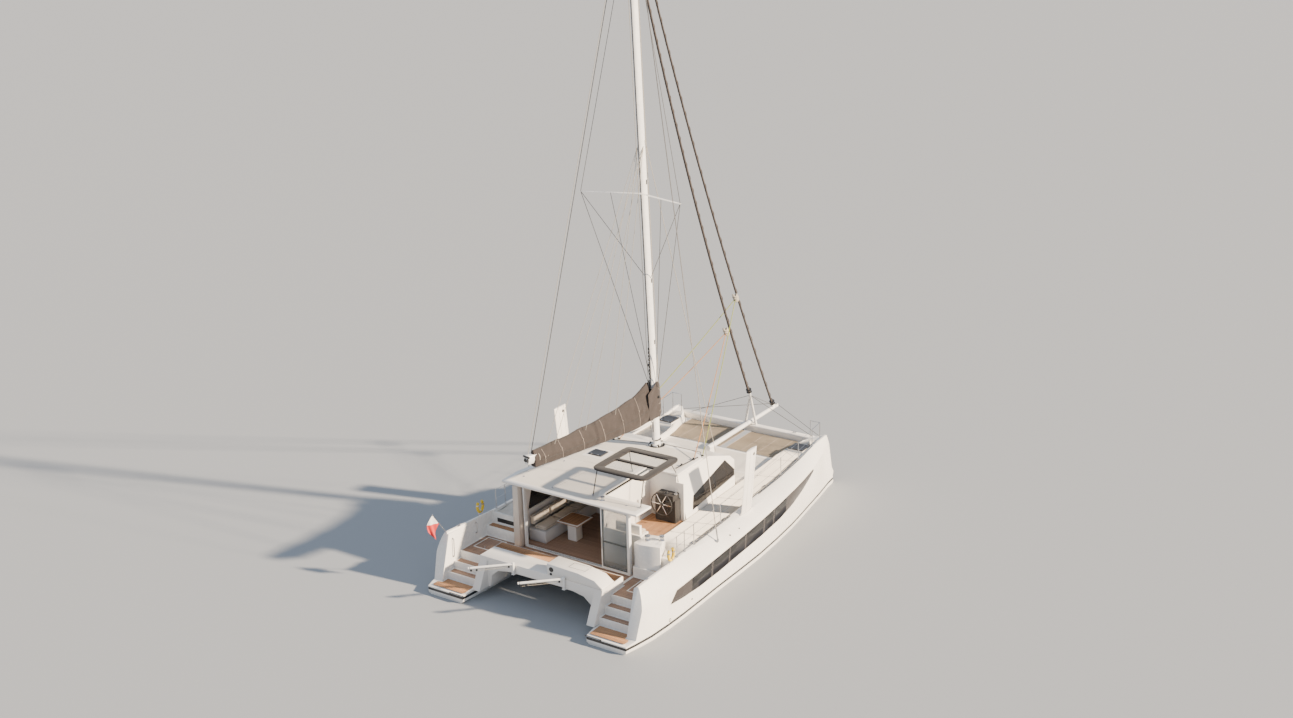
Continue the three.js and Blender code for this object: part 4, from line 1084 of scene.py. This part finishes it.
fittings += [addBox(mastParts["exit"], onMast(z, sign * wall, 0.03), 0.008)
             for z in mastParts["exits"] for sign in (1, -1)]
assembled(fittings, "mast_fittings", "black")
crane = [addBox(mastParts["crane"], onMast(22.24, 0, -0.05), 0.015)]
crane += [addTurned(mastParts["wheel"], onMast(22.16, 0, y), (1, 0, 0)) for y in mastParts["wheelsAt"]]
assembled(crane, "masthead_crane", "spar")
footY, footZ = mastForm["foot"]
blocks = []
for turn in [60 * i + 15 for i in range(6)]:
    a = math.radians(turn)
    at = (mastParts["footRing"] * math.cos(a), footY + mastParts["footRing"] * math.sin(a), footZ + 0.052)
    blocks.append(addBox(mastParts["footBlock"], at, 0.012, (0, 0, turn)))
blocks.append(addTurned(mastParts["footPlate"], (0, footY, footZ - 0.001), sides=32))
assembled(blocks, "mast_foot_blocks", "black")

# Rigging lines: diamonds, whisker stays, halyards, headsail sheets, lazy jacks

rigging = {
    "wire": 0.010, "halyard": 0.010, "sheet": 0.014, "jack": 0.008, "droop": 0.10,
    "knot": (0.07, 0.08, 0.035),
    "tip": (1.955, -0.969, 12.45), "spreaderMiddle": (1.0, -0.62, 12.45),
    "sprit": (0, 8.86, 2.12), "spritFoot": (0, 8.50, 2.19), "apex": (0, 6.80, 3.12),
    "bow": (3.12, 6.80, 1.97), "beamEnd": (2.75, 6.86, 1.90), "foreHalyard": (1.15, 2.35, 2.62),
}
wires = []
for sign, _ in boatSides:
    tip, middle, bow, beamEnd = [flip(sign, rigging[k]) for k in ("tip", "spreaderMiddle", "bow", "beamEnd")]
    wires += [[onMast(21.0, sign * wall), tip, onMast(5.3, sign * wall)], [tip, onMast(9.5, sign * wall)],
              [middle, onMast(5.6, sign * wall)], [bow, rigging["sprit"]], [beamEnd, rigging["apex"]]]
wires.append([rigging["apex"], rigging["spritFoot"]])
halyards = [
    [onMast(21.9, -0.04, aft - 0.05), onMast(4.0, -0.09, aft - 0.03)],
    [onMast(21.9, 0.04, 0.20), onMast(4.3, 0.08, 0.19)],
    [onMast(19.6, -0.05, 0.20), onMast(4.1, -0.08, 0.19)],
    [onMast(14.2, 0.12, 0.05), rigging["foreHalyard"]],
]
assembled([addTube(run, rigging["wire"]) for run in wires], "diamond_and_whisker_wires", "wire")
assembled([addTube(run, rigging["halyard"]) for run in halyards], "halyards", "rope")

# Each sheet's finish, its clew and the leads it runs to
sheets = {
    "green_sheets": ("greenRope", (0, 5.74, 7.26), ((-1.60, -0.05, 3.37), (1.90, 0.28, 3.36))),
    "orange_sheets": ("orangeRope", (0, 5.05, 6.14), ((-1.45, 0.10, 3.37), (1.84, -0.20, 3.38))),
}
for name, (material, clew, leads) in sheets.items():
    places = [(i / 10, up(rigging["droop"] * math.sin(math.pi * i / 10))) for i in range(11)]
    runs = [[Vector(clew).lerp(Vector(lead), share) - drop for share, drop in places] for lead in leads]
    assembled([addTube(run, rigging["sheet"]) for run in runs], name, material)
blocks = [addBox((0.10, 0.05, 0.045), Vector(lead) - Vector((0, 0.02, 0.005)), 0.01)
          for _, _, leads in sheets.values() for lead in leads]
assembled(blocks, "sheet_blocks", "black")
knots = []
for _, clew, _ in sheets.values():
    for dy, dz, radius in ((0.05, -0.06, 0.044), (0.0, 0.04, 0.052), (-0.05, 0.13, 0.04)):
        wide, long, tall = rigging["knot"]
        loop = [(wide * math.cos(a), dy + long * math.sin(a), dz + tall * math.sin(2 * a)) for a in ring(16)]
        knots.append(addTube([Vector(clew) + Vector(place) for place in loop], radius, True))
assembled(knots, "clew_knots", "rope")

# Lines from the mast to the boom, with two levels of a short stretch given last
jacks = [(onMast(14.0, sign * 0.11, -0.05), onBoom(along, sign * 0.17, bagTop(along) * bagForm["hemHeight"]))
         for sign, _ in boatSides for along in (1.9, 3.3, 4.7)]
lift = (onMast(21.9, 0, aft - 0.09), onBoom(5.72, 0, 0.16))
for name, lines, high, low in (("lazy_jacks", jacks, 14.0, 12.6), ("topping_lift", [lift], 21.9, 20.2)):
    runs = [[start.lerp(end, i / 32) for i in range(33)] for start, end in lines]
    bent(assembled([addTube(run, rigging["jack"]) for run in runs], name, "rope"))
print("mast, boom and rigging finished")

# Headsails: a spiral leech on each furled sail, swivel and drum

furled = {
    "jib": {"foot": (0, 6.74, 3.26), "head": (0, -0.33, 20.65), "radius": (0.048, 0.038), "sag": 0.36},
    "genoa": {"foot": (0, 8.56, 2.20), "head": (0, -0.38, 21.70), "radius": (0.042, 0.034), "sag": 0.42},
}
furler = {
    "bends": 30, "turns": 34, "steps": 12, "leech": 0.009, "swivelAt": 0.972,
    "drum": [(0.030, -0.02), (0.075, 0.0), (0.110, 0.015), (0.110, 0.03), (0.060, 0.04),
             (0.060, 0.12), (0.110, 0.13), (0.110, 0.145), (0.055, 0.16), (0.045, 0.26)],
    "swivel": [(0.03, 0), (0.055, 0.02), (0.055, 0.10), (0.03, 0.14)],
}


def sagged(form, point):
    low, high = form["foot"][2], form["head"][2]
    share = min(max((point[2] - low) / (high - low), 0), 1)
    return Vector(point) - Vector((0, form["sag"] * 4 * share * (1 - share), 0))


for name, form in furled.items():
    foot, run = Vector(form["foot"]), Vector(form["head"]) - Vector(form["foot"])
    way, across = run.normalized(), Vector((1, 0, 0))
    ahead = way.cross(across)
    sail = skins["furled_" + name]
    cut(sail, [foot + run * (i / furler["bends"]) for i in range(1, furler["bends"])], way)
    for point in sail.data.vertices:
        point.co = sagged(form, point.co)
    paint(sail, "sailTaupe", lambda c, n: n.x > 0.35)
    inner, outer = form["radius"]
    spiral, count = [], furler["turns"] * furler["steps"]
    for i in range(count):
        share, a = 0.02 + 0.95 * i / count, math.tau * i / furler["steps"]
        reach = inner + (outer - inner) * share + 0.002
        around = across * reach * math.cos(a) + ahead * reach * math.sin(a)
        spiral.append(sagged(form, foot + run * share + around))
    finished(addTube(spiral, furler["leech"]), name + "_spiral_leech", "sailTaupe")
    ends = [addTurned(furler["drum"], foot, way, 24),
            addTurned(furler["swivel"], foot + run * furler["swivelAt"], way)]
    assembled(ends, name + "_furler", "black")
print("headsails finished")

# Trampolines: woven nets stretched in a hem and laced to the frame round them

netForm = {
    "x": (0.135, 2.57), "y": (4.775, 6.625), "level": 1.702, "sag": 0.022, "cells": (30, 24), "wall": 0.003,
    "hem": 0.011, "hemCorner": 0.06, "seams": (0.75, 1.36, 1.97), "seam": 0.007,
    "lace": 0.0045, "pitch": 0.115, "frameX": (0.075, 2.635), "frameY": (4.705, 6.695),
}
(x0, x1), (y0, y1) = netForm["x"], netForm["y"]
(frameX0, frameX1), (frameY0, frameY1) = netForm["frameX"], netForm["frameY"]


def netPoint(u, v, lift=0.0):
    hollow = netForm["sag"] * 16 * u * (1 - u) * v * (1 - v)
    return Vector((x0 + (x1 - x0) * u, y0 + (y1 - y0) * v, netForm["level"] - hollow + lift))


def netLacing():
    lines = []
    edges = (
        ((x0, y0), (x1, y0), (0, frameY0 - y0)), ((x0, y1), (x1, y1), (0, frameY1 - y1)),
        ((x0, y0), (x0, y1), (frameX0 - x0, 0)), ((x1, y0), (x1, y1), (frameX1 - x1, 0)),
    )
    for (ax, ay), (bx, by), (dx, dy) in edges:
        count = int(math.hypot(bx - ax, by - ay) / netForm["pitch"])
        line = []
        for i in range(count + 1):
            x, y = ax + (bx - ax) * i / count, ay + (by - ay) * i / count
            line.append((x, y, netForm["level"]) if i % 2 else (x + dx, y + dy, netForm["level"]))
        lines.append(addTube(line, netForm["lace"], ring=0))
    return joined(lines)


net = modified(addGrid(*netForm["cells"], netPoint), "SOLIDIFY", thickness=netForm["wall"], offset=0)
hemLine = rounded([netPoint(u, v) for u, v in rectangle((0, 0), (1, 1))], netForm["hemCorner"], 4, True)
edging = [addTube(hemLine, netForm["hem"], True)]
for u in [(x - x0) / (x1 - x0) for x in netForm["seams"]]:
    edging.append(addTube([netPoint(u, i / 12, 0.002) for i in range(13)], netForm["seam"]))
netParts = (net, joined(edging), netLacing())
for sign, side in reversed(boatSides):
    cloth, hem, lace = [copied(piece, mirror=True) if sign < 0 else piece for piece in netParts]
    finished(cloth, "trampoline_net_" + side, "net")
    finished(hem, "trampoline_hem_" + side, "strap")
    finished(lace, "trampoline_lacing_" + side, "rope")
    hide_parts("trampoline_" + side)
print("trampolines finished")

# Deck gear: cleats, toe rails, stanchion feet, chain plates, winches

deckGear = {
    "cleatLength": 0.26, "horn": ((-0.5, 0.050), (-0.25, 0.056), (0, 0.052), (0.25, 0.056), (0.5, 0.050)),
    "cleatLeg": [(0.020, 0), (0.012, 0.02), (0.011, 0.05)], "legs": (-0.038, 0.038),
    "railCleats": (5.9, 2.1, -2.9), "aftCleats": (3.77, -6.05, 1.875), "beamCleats": (1.9, 6.86, 1.933),
    "toeRails": ((-3.05, -0.72), (1.30, 5.75)), "toePitch": 0.11, "toeInset": 0.028, "toeTop": up(0.042),
    "posts": (-4.19, -3.71, -3.11, -1.35, 0.82, 3.02, 4.49, 5.70), "postInset": 0.045,
    "shoe": [(0.045, 0), (0.045, 0.006), (0.026, 0.012), (0.024, 0.07), (0.019, 0.075)],
    "shroudFoot": (4.01, -2.23, 1.60), "chainPlate": (0.018, 0.11, 0.30),
    "padEyes": (-1.535, -0.94), "padEye": [(0.035, 0), (0.035, 0.008), (0.024, 0.014)],
    "winches": ((2.62, -4.28, 2.199, 1.0), (3.02, -4.05, 2.199, 0.9),
                (-3.42, -3.30, 1.772, 0.9), (1.10, -4.55, 3.349, 0.75)),
    "drum": ((0.105, 0), (0.105, 0.015), (0.082, 0.03), (0.070, 0.06), (0.066, 0.10), (0.080, 0.135),
             (0.098, 0.145), (0.098, 0.155), (0.078, 0.160), (0.078, 0.168), (0.098, 0.173), (0.094, 0.185),
             (0.050, 0.190), (0.042, 0.200), (0.018, 0.200), (0.018, 0.190)),
    "winchSocket": Vector((0.10, 0.03, 0.016)), "socketAt": Vector((0.055, 0, 0.17)),
}


def addCleat(at, turn=90):
    length = deckGear["cleatLength"]
    parts = [addTube([(length * share, 0, z) for share, z in deckGear["horn"]], 0.011, ring=2)]
    parts.append(addBox((length * 0.55, 0.045, 0.012), (0, 0, 0.006), 0.004))
    parts += [addTurned(deckGear["cleatLeg"], (x, 0, 0.008), sides=12) for x in deckGear["legs"]]
    cleat = joined(parts)
    cleat.rotation_euler = (0, 0, math.radians(turn))
    cleat.location = at
    return settle(cleat)


def addToeRail(sign, start, end):
    count = int((end - start) / deckGear["toePitch"])
    foot, top, posts = [], [], []
    for i in range(count + 1):
        y = start + (end - start) * i / count
        x, z = railAt(y)
        at = Vector((sign * (x - deckGear["toeInset"]), y, z))
        foot.append(at + up(0.004))
        top.append(at + deckGear["toeTop"])
        posts.append(addRod(at, top[-1], 0.006, sides=6))
    return joined([addTube(foot, 0.009), addTube(top, 0.008), *posts])


def addWinch(x, y, z, size):
    at = Vector((x, y, z))
    drum = addTurned([(r * size, h * size) for r, h in deckGear["drum"]], at, sides=28)
    return joined([drum, addBox(deckGear["winchSocket"] * size, at + deckGear["socketAt"] * size, 0.004)])


cleats = []
for sign, _ in boatSides:
    for y in deckGear["railCleats"]:
        x, z = railAt(y)
        cleats.append(addCleat((sign * (x - 0.045), y + 0.05, z - 0.002)))
    cleats.append(addCleat(flip(sign, deckGear["aftCleats"])))
    cleats.append(addCleat(flip(sign, deckGear["beamCleats"]), 0))
assembled(cleats, "mooring_cleats", "steel")
for sign, side in boatSides:
    assembled([addToeRail(sign, *span) for span in deckGear["toeRails"]], "toe_rail_" + side, "black")
    shoes = []
    for y in deckGear["posts"]:
        x, z = railAt(y)
        at = (sign * (x - deckGear["postInset"]), y, z - 0.002)
        shoes.append(addTurned(deckGear["shoe"], at, sides=16))
    x, y, z = deckGear["shroudFoot"]
    shoes.append(addBox(deckGear["chainPlate"], (sign * (x - 0.005), y, z - 0.02), 0.006))
    shoes.append(addRod((sign * x, y, z + 0.08), (sign * (x - 0.068), y + 0.029, z + 0.50), 0.020, 0.014))
    assembled(shoes, "stanchion_feet_" + side, "steel")
assembled([addWinch(*place) for place in deckGear["winches"]], "winches", "steel")
eyes = [addTurned(deckGear["padEye"], (sign * 4.06, y, 1.60), (sign, 0, 0.4))
        for sign, _ in boatSides for y in deckGear["padEyes"]]
assembled(eyes, "shroud_pad_eyes", "black")

# Daggerboards: lifting holes and edge seams

boardForm = {
    "tilt": 0.092, "foot": (3.77, 1.75), "hole": (0.10, 3.93), "lining": [(0.055, -0.0612), (0.055, 0.0612)],
    "seams": (-0.12, 0.16), "seamHalf": 0.004,
}
for sign, side in boatSides:
    (footX, footZ), (y, z), tilt = boardForm["foot"], boardForm["hole"], boardForm["tilt"]
    at = (sign * (footX + tilt * (z - footZ)), y, z)
    lining = addTurned(boardForm["lining"], at, (1, 0, tilt * -sign), 20)
    finished(lining, "daggerboard_fittings_" + side, "black", "daggerboard_" + side)
    board, half = skins["daggerboard_" + side], boardForm["seamHalf"]
    cut(board, [(0, y + edge, 0) for y in boardForm["seams"] for edge in (-half, half)], (0, 1, 0))
    paint(board, "seal", lambda c, n: abs(n.x) > 0.8 and any(abs(c.y - y) < half for y in boardForm["seams"]))
print("deck gear finished")

# Stern gear: ladder slots, grab rails, outlets, horseshoe buoys, ensign, davit tackles

sternGear = {
    "slot": (2.73, -7.552, 0.265), "slotSize": (0.62, 0.012, 0.06), "rung": 0.26,
    "grabs": ((-6.52, 0.98, 1.62), (-5.3, 1.35, 1.72)), "grabX": 3.695, "grabReach": 0.055,
    "grabFoot": [(0.030, 0), (0.030, 0.006), (0.018, 0.010)],
    "exhaustAt": (4.205, -5.47, 0.33),
    "exhaust": [(0.058, -0.01), (0.058, 0.008), (0.046, 0.012), (0.044, -0.006)],
    "drains": ((4.17, -6.0, 0.62), (4.23, -4.2, 0.5)),
    "drain": [(0.026, -0.01), (0.026, 0.006), (0.016, 0.008), (0.015, -0.004)],
    "buoys": ((-3.72, -4.98, 1.98), (3.80, -4.72, 1.97)), "buoyRadius": 0.17, "buoyTube": 0.052,
    "straps": (2, 10, 17), "bracket": ((-0.1, -0.12), (-0.1, 0.02), (0.1, 0.02), (0.1, -0.12)),
    "staff": ((-3.84, -6.62, 1.86), (-4.04, -7.02, 2.60)), "flag": (0.58, 0.40), "flagWall": 0.0012,
    "truck": [(0.006, 0), (0.018, 0.012), (0.006, 0.03)],
    "socket": [(0.030, -0.02), (0.030, 0.05), (0.018, 0.06)],
}
slots, rungs, grabs, outlets = [], [], [], []
for sign, _ in boatSides:
    x, y, z = sternGear["slot"]
    slots.append(addBox(sternGear["slotSize"], (sign * x, y, z), 0.005))
    inner, outer = [(sign * (x + reach), y - 0.004, z) for reach in (-sternGear["rung"], sternGear["rung"])]
    rungs.append(addRod(inner, outer, 0.012))
    for y, z, top in sternGear["grabs"]:
        x, inner = sign * sternGear["grabX"], sign * (sternGear["grabX"] - sternGear["grabReach"])
        run = [(x, y, z), (inner, y, z), (inner, y + 0.02, top), (x, y + 0.02, top)]
        grabs.append(addTube(rounded(run, 0.04), 0.0125, ring=2))
        grabs += [addTurned(sternGear["grabFoot"], foot, (-sign, 0, 0), 16) for foot in (run[0], run[-1])]
    outlets.append(addTurned(sternGear["exhaust"], flip(sign, sternGear["exhaustAt"]), (sign, 0, 0)))
    outlets += [addTurned(sternGear["drain"], flip(sign, at), (sign, 0, 0), 16) for at in sternGear["drains"]]
assembled(slots, "ladder_slots", "black")
assembled(rungs, "ladder_rungs", "steel")
assembled(grabs, "stern_grab_rails", "steel")
assembled(outlets, "hull_outlets", "black")

for at, (_, side) in zip([Vector(place) for place in sternGear["buoys"]], boatSides):
    radius, tube = sternGear["buoyRadius"], sternGear["buoyTube"]
    centre = at + up(radius + tube)
    line = [centre + Vector((0, radius * math.sin(a) * 0.85, -radius * math.cos(a) * 1.2))
            for a in [math.radians(-140 + 14 * i) for i in range(21)]]
    buoy = subdivided(addTube(line, tube, ring=3))
    straps = [(line[k], line[k].lerp(line[k + 1], 0.8)) for k in sternGear["straps"]]
    holders = [addRod(start, end, tube * 1.06, sides=16) for start, end in straps]
    bracket = [at + Vector((0, dy, dz)) for dy, dz in sternGear["bracket"]]
    holders.append(addTube(rounded(bracket, 0.03), 0.010))
    finished(buoy, "horseshoe_buoy_" + side, "buoy", angle=60)
    assembled(holders, "buoy_bracket_" + side, "steel")

staffFoot, staffTop = [Vector(p) for p in sternGear["staff"]]
staff = [addRod(staffFoot, staffTop, 0.014, 0.009, 12), addTurned(sternGear["truck"], staffTop),
         addTurned(sternGear["socket"], staffFoot, staffTop - staffFoot)]
assembled(staff, "ensign_staff", "steel")


def flagPoint(u, v):
    long, tall = sternGear["flag"]
    hoist = staffTop - (staffTop - staffFoot).normalized() * (0.02 + tall * (1 - v))
    out = 0.34 * math.sin(min(u, 0.8) * math.pi / 1.6) * (0.75 + 0.25 * v)
    ripple = 0.035 * u * math.sin(8 * u + 6 * v)
    return hoist + Vector((-0.30 * out + ripple, -0.55 * out - ripple * 0.3, -0.93 * long * u ** 1.15))


flag = modified(addGrid(16, 14, flagPoint), "SOLIDIFY", thickness=sternGear["flagWall"])
finished(flag, "ensign", "flag", angle=70)

davitForm = {
    "level": 1.43, "hinges": {"port": (-1.03, -6.654), "starboard": (1.0, -6.654)}, "end": 0.07,
    "sheave": [(0.034, -0.016), (0.026, 0), (0.034, 0.016)], "cheek": (0.025, 0.045, 0.05),
    "cap": [(0.046, 0), (0.046, 0.012), (0.030, 0.02)],
    "blocks": ((0.03, 0.09), (0.16, 0.09), (0.90, 0.08)), "fall": 0.006,
    "falls": (((0.03, 0.115), (0.90, 0.105)), ((0.16, 0.06), (0.90, 0.055))),
}
for side, (x, y) in davitForm["hinges"].items():
    low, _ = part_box("davit_" + side)
    tip = Vector((low.x + davitForm["end"], low.y + davitForm["end"], davitForm["level"]))
    root = Vector((x, y, davitForm["level"]))
    way = (root - tip).normalized()
    hung = lambda share, drop: tip.lerp(root, share) - up(drop)
    parts = []
    for at in [hung(*place) for place in davitForm["blocks"]]:
        parts.append(addTurned(davitForm["sheave"], at, way.cross(up(1))))
        parts.append(addBox(davitForm["cheek"], at + up(0.035), 0.006))
    parts.append(addTurned(davitForm["cap"], tip + way * 0.01, -way))
    assembled(parts, "davit_blocks_" + side, "black", "davit_" + side)
    falls = [addTube([hung(*place) for place in run], davitForm["fall"]) for run in davitForm["falls"]]
    assembled(falls, "davit_falls_" + side, "rope", "davit_" + side)

# Underwater gear: propeller cones, saildrive rings and anodes, rudder stocks

driveForm = {
    "level": -0.86, "cone": [(0.044, -0.10), (0.052, -0.05), (0.048, 0.0), (0.030, 0.022), (0.010, 0.030)],
    "ring": [(0.062, 0), (0.066, 0.01), (0.066, 0.04), (0.060, 0.05)], "plate": (0.15, 0.24),
    "stock": [(0.032, -0.03), (0.032, 0.0), (0.026, 0.004)], "stockY": -6.58,
}
for _, side in boatSides:
    low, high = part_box("propeller_" + side)
    x, level = (low.x + high.x) / 2, driveForm["level"]
    cone = addTurned(driveForm["cone"], (x, low.y + 0.05, level), (0, -1, 0), 20)
    finished(cone, "propeller_hub_" + side, "steel", "propeller_" + side)
    low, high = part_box("saildrive_" + side)
    wide, long = driveForm["plate"]
    middle = (low.y + high.y) / 2
    plate = [(x + wide * math.sin(a), middle + long * math.cos(a), high.z - 0.012) for a in ring(24)]
    collar = addTurned(driveForm["ring"], (x, low.y + 0.055, level), (0, -1, 0), 20)
    assembled([collar, addPlate(plate, 0.010, 0.003)], "saildrive_anode_" + side, "steel")
    low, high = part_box("rudder_" + side)
    stock = addTurned(driveForm["stock"], ((low.x + high.x) / 2, driveForm["stockY"], high.z), sides=18)
    finished(stock, "rudder_stock_" + side, "steel", "rudder_" + side)

# Sockets and lid seam on the aft locker, and the vent in the port riser

lockerForm = {
    "sockets": ((0.48, 1.60, 0.085), (0.46, 1.44, 0.045)), "lidEnd": 0.75, "lid": (-6.42, -6.10),
    "socket": ((1, -0.004), (1, 0.010), (0.8, 0.014), (0.74, 0.006)), "socketCentre": (0.012, 0.010),
}
rounds = []
for x, z, size in lockerForm["sockets"]:
    profile = [(size * share, level) for share, level in lockerForm["socket"]] + [lockerForm["socketCentre"]]
    at = onSurface(skins["aft_locker"], (x, -7.4, z), (0, 1, 0))
    rounds.append(addTurned(profile, at, (0, -1, 0), 24))
assembled(rounds, "locker_sockets", "black")
low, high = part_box("aft_locker")
(lidAft, lidFore), end = lockerForm["lid"], lockerForm["lidEnd"]
lid = atLevel(rectangle((low.x + end, lidAft), (high.x - end, lidFore)), high.z + 0.001)
finished(addTube(lid, 0.004, True), "locker_lid_seam", "seal")
ventForm = {
    "at": (-3.12, -4.403, 1.53), "plate": (0.72, 0.010, 0.15), "slat": (0.68, 0.014, 0.012),
    "slatLevels": [1.475 + 0.028 * i for i in range(5)],
}
x, y, z = ventForm["at"]
vents = [addBox(ventForm["plate"], (x, y, z), 0.004)]
vents += [addBox(ventForm["slat"], (x, y - 0.001, level), 0.003) for level in ventForm["slatLevels"]]
assembled(vents, "riser_vent", "black")
print("stern gear finished")

# Cushions: each one blown up by a short cloth simulation, with piped seams laid on after it

cushionForm = {
    "voxel": 0.016, "slack": 0.024, "corner": 0.028, "pressure": 4.0, "frames": 20, "cap": 0.020,
    "piping": 0.006, "pipeInset": (0.03, 0.03, 0.018), "pipeCorner": 0.05,
}


def puffed(size, at):
    pad = addBox([s - cushionForm["slack"] for s in size], at, cushionForm["corner"], segments=3)
    remeshed(pad, cushionForm["voxel"])
    rest = [v.co.copy() for v in pad.data.vertices]
    cloth = pad.modifiers.new("air", "CLOTH")
    cloth.settings.use_pressure = True
    cloth.settings.uniform_pressure_force = cushionForm["pressure"]
    cloth.settings.effector_weights.gravity = 0
    for frameNumber in range(1, cushionForm["frames"] + 1):
        bpy.context.scene.frame_set(frameNumber)
    activate(pad)
    bpy.ops.object.modifier_apply(modifier=cloth.name)
    bpy.context.scene.frame_set(1)
    for point, start in zip(pad.data.vertices, rest):
        move = point.co - start
        if move.length > cushionForm["cap"]:
            point.co = start + move.normalized() * cushionForm["cap"]
        point.co.z = max(point.co.z, at[2] - size[2] / 2)
    return subdivided(pad)


def piped(pad, size, at):
    x, y, z = [whole / 2 - inset for whole, inset in zip(size, cushionForm["pipeInset"])]
    lines = []
    for level in (-z, z):
        corners = [(at[0] + dx, at[1] + dy, at[2] + level) for dx, dy in rectangle((-x, -y), (x, y))]
        line = rounded(corners, cushionForm["pipeCorner"], 5, True)
        seam = []
        for place in [a.lerp(b, k / 4) for a, b in zip(line, line[1:] + line[:1]) for k in range(4)]:
            out = place + (place - Vector((at[0], at[1], place.z))).normalized() * 0.08
            seam.append(pad.closest_point_on_mesh(out)[1])
        lines.append(addTube(seam, cushionForm["piping"], True))
    return joined(lines)


def placeCushions(name, pads):
    made = {}
    for i, (size, at) in enumerate(pads):
        if size in made:
            source, start = made[size]
            pieces = [copied(piece, Vector(at) - Vector(start)) for piece in source]
        else:
            pad = puffed(size, at)
            pieces = [pad, piped(pad, size, at)]
            made[size] = (pieces, at)
        label = f"{name}_{i + 1}"
        finished(pieces[0], label, "cushion", angle=70)
        finished(pieces[1], label + "_piping", "strap")


sofaForm = {"seat": 1.548, "back": 1.77, "pitchY": 0.96, "pitchX": 0.94, "start": (-1.74, -3.80)}
startX, startY = sofaForm["start"]
alongY = [startY + sofaForm["pitchY"] * i for i in range(3)]
alongX = [startX + sofaForm["pitchX"] * i for i in range(2)]
sofaPads = [((0.50, 0.93, 0.135), (-1.77, y, sofaForm["seat"])) for y in alongY]
sofaPads += [((0.93, 0.50, 0.135), (x, -1.16, sofaForm["seat"])) for x in alongX]
sofaPads += [((0.17, 0.93, 0.37), (-2.095, y, sofaForm["back"])) for y in alongY]
sofaPads += [((0.93, 0.17, 0.37), (x, -0.81, sofaForm["back"])) for x in alongX]
placeCushions("sofa_cushion", sofaPads)
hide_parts("sofa_cushions")
helmPads = [((0.86, 0.40, 0.10), (1.725, -3.80, 2.18)), ((0.86, 0.10, 0.30), (1.725, -4.03, 2.36))]
placeCushions("helm_cushion", helmPads)
print("cushions finished")

# Table: planked inlay and edge

tableForm = {"low": (-1.35, -3.90), "high": (-0.45, -3.00), "top": 1.78, "inset": 0.06, "lip": 0.004}
inner = rectangle(tableForm["low"], tableForm["high"], tableForm["inset"])
leaf = addPlate(rounded(atLevel(inner, tableForm["top"] - 0.001), 0.06, 4, True), 0.006, 0.002)
finished(leaf, "table_inlay", "teakFore")
outer = rectangle(tableForm["low"], tableForm["high"], -tableForm["lip"])
rim = addTube(rounded(atLevel(outer, tableForm["top"] - 0.02), 0.02, 3, True), 0.012, True)
finished(rim, "table_edge", "teakFore")

# Helm: screens, switches, compass, levers and the wheel's grip and hub

helmForm = {
    "face": -1.902, "screenX": (1.50, 1.92), "screenZ": 2.36, "screen": (0.26, 0.19), "bezel": 0.03,
    "switchX": [1.48 + 0.18 * i for i in range(4)], "switchZ": 2.16,
    "switch": [(0.020, 0), (0.018, 0.012), (0.010, 0.016)],
    "compass": (1.75, -1.80, 2.70),
    "dome": [(0.065, 0), (0.065, 0.02), (0.058, 0.04), (0.042, 0.06), (0.018, 0.07)],
    "base": [(0.080, -0.004), (0.080, 0.012), (0.066, 0.02)],
    "lever": (2.08, -1.74, 2.70), "leverBox": (0.09, 0.12, 0.05), "leverApart": 0.02, "leverLean": 0.03,
    "knob": [(0.010, 0), (0.018, 0.012), (0.018, 0.028), (0.008, 0.036)],
}
face, (wide, tall), edge = helmForm["face"], helmForm["screen"], helmForm["bezel"]
bezels, screens = [], []
for x in helmForm["screenX"]:
    bezels.append(addBox((wide + edge, 0.012, tall + edge), (x, face, helmForm["screenZ"]), 0.006))
    screens.append(addBox((wide, 0.010, tall), (x, face - 0.006, helmForm["screenZ"]), 0.003))
for x in helmForm["switchX"]:
    bezels.append(addTurned(helmForm["switch"], (x, face, helmForm["switchZ"]), (0, -1, 0), 14))
assembled(bezels, "helm_bezels", "black")
assembled(screens, "helm_screens", "pane")
compass = [addTurned(helmForm[part], helmForm["compass"], sides=24) for part in ("dome", "base")]
assembled(compass, "helm_compass", "black")
foot = Vector(helmForm["lever"])
levers = [addBox(helmForm["leverBox"], foot + up(0.02), 0.012)]
for shift in (-helmForm["leverApart"], helmForm["leverApart"]):
    low, high = foot + Vector((shift, 0, 0.04)), foot + Vector((shift, helmForm["leverLean"], 0.17))
    levers += [addRod(low, high, 0.007), addTurned(helmForm["knob"], high - up(0.01), sides=14)]
assembled(levers, "helm_levers", "steel")

wheelForm = {
    "centre": Vector((1.75, -2.12, 2.42)), "radius": 0.40, "grip": 0.019,
    "hub": [(0.07, -0.03), (0.07, 0.01), (0.05, 0.03), (0.02, 0.038)],
}
rim = [wheelForm["centre"] + Vector((math.cos(a), 0, math.sin(a))) * wheelForm["radius"] for a in ring(60)]
finished(addTube(rim, wheelForm["grip"], True, 2), "wheel_grip", "seal", "wheel")
finished(addTurned(wheelForm["hub"], wheelForm["centre"], (0, -1, 0), 24), "wheel_hub", "black", "wheel")
print("table and helm finished")
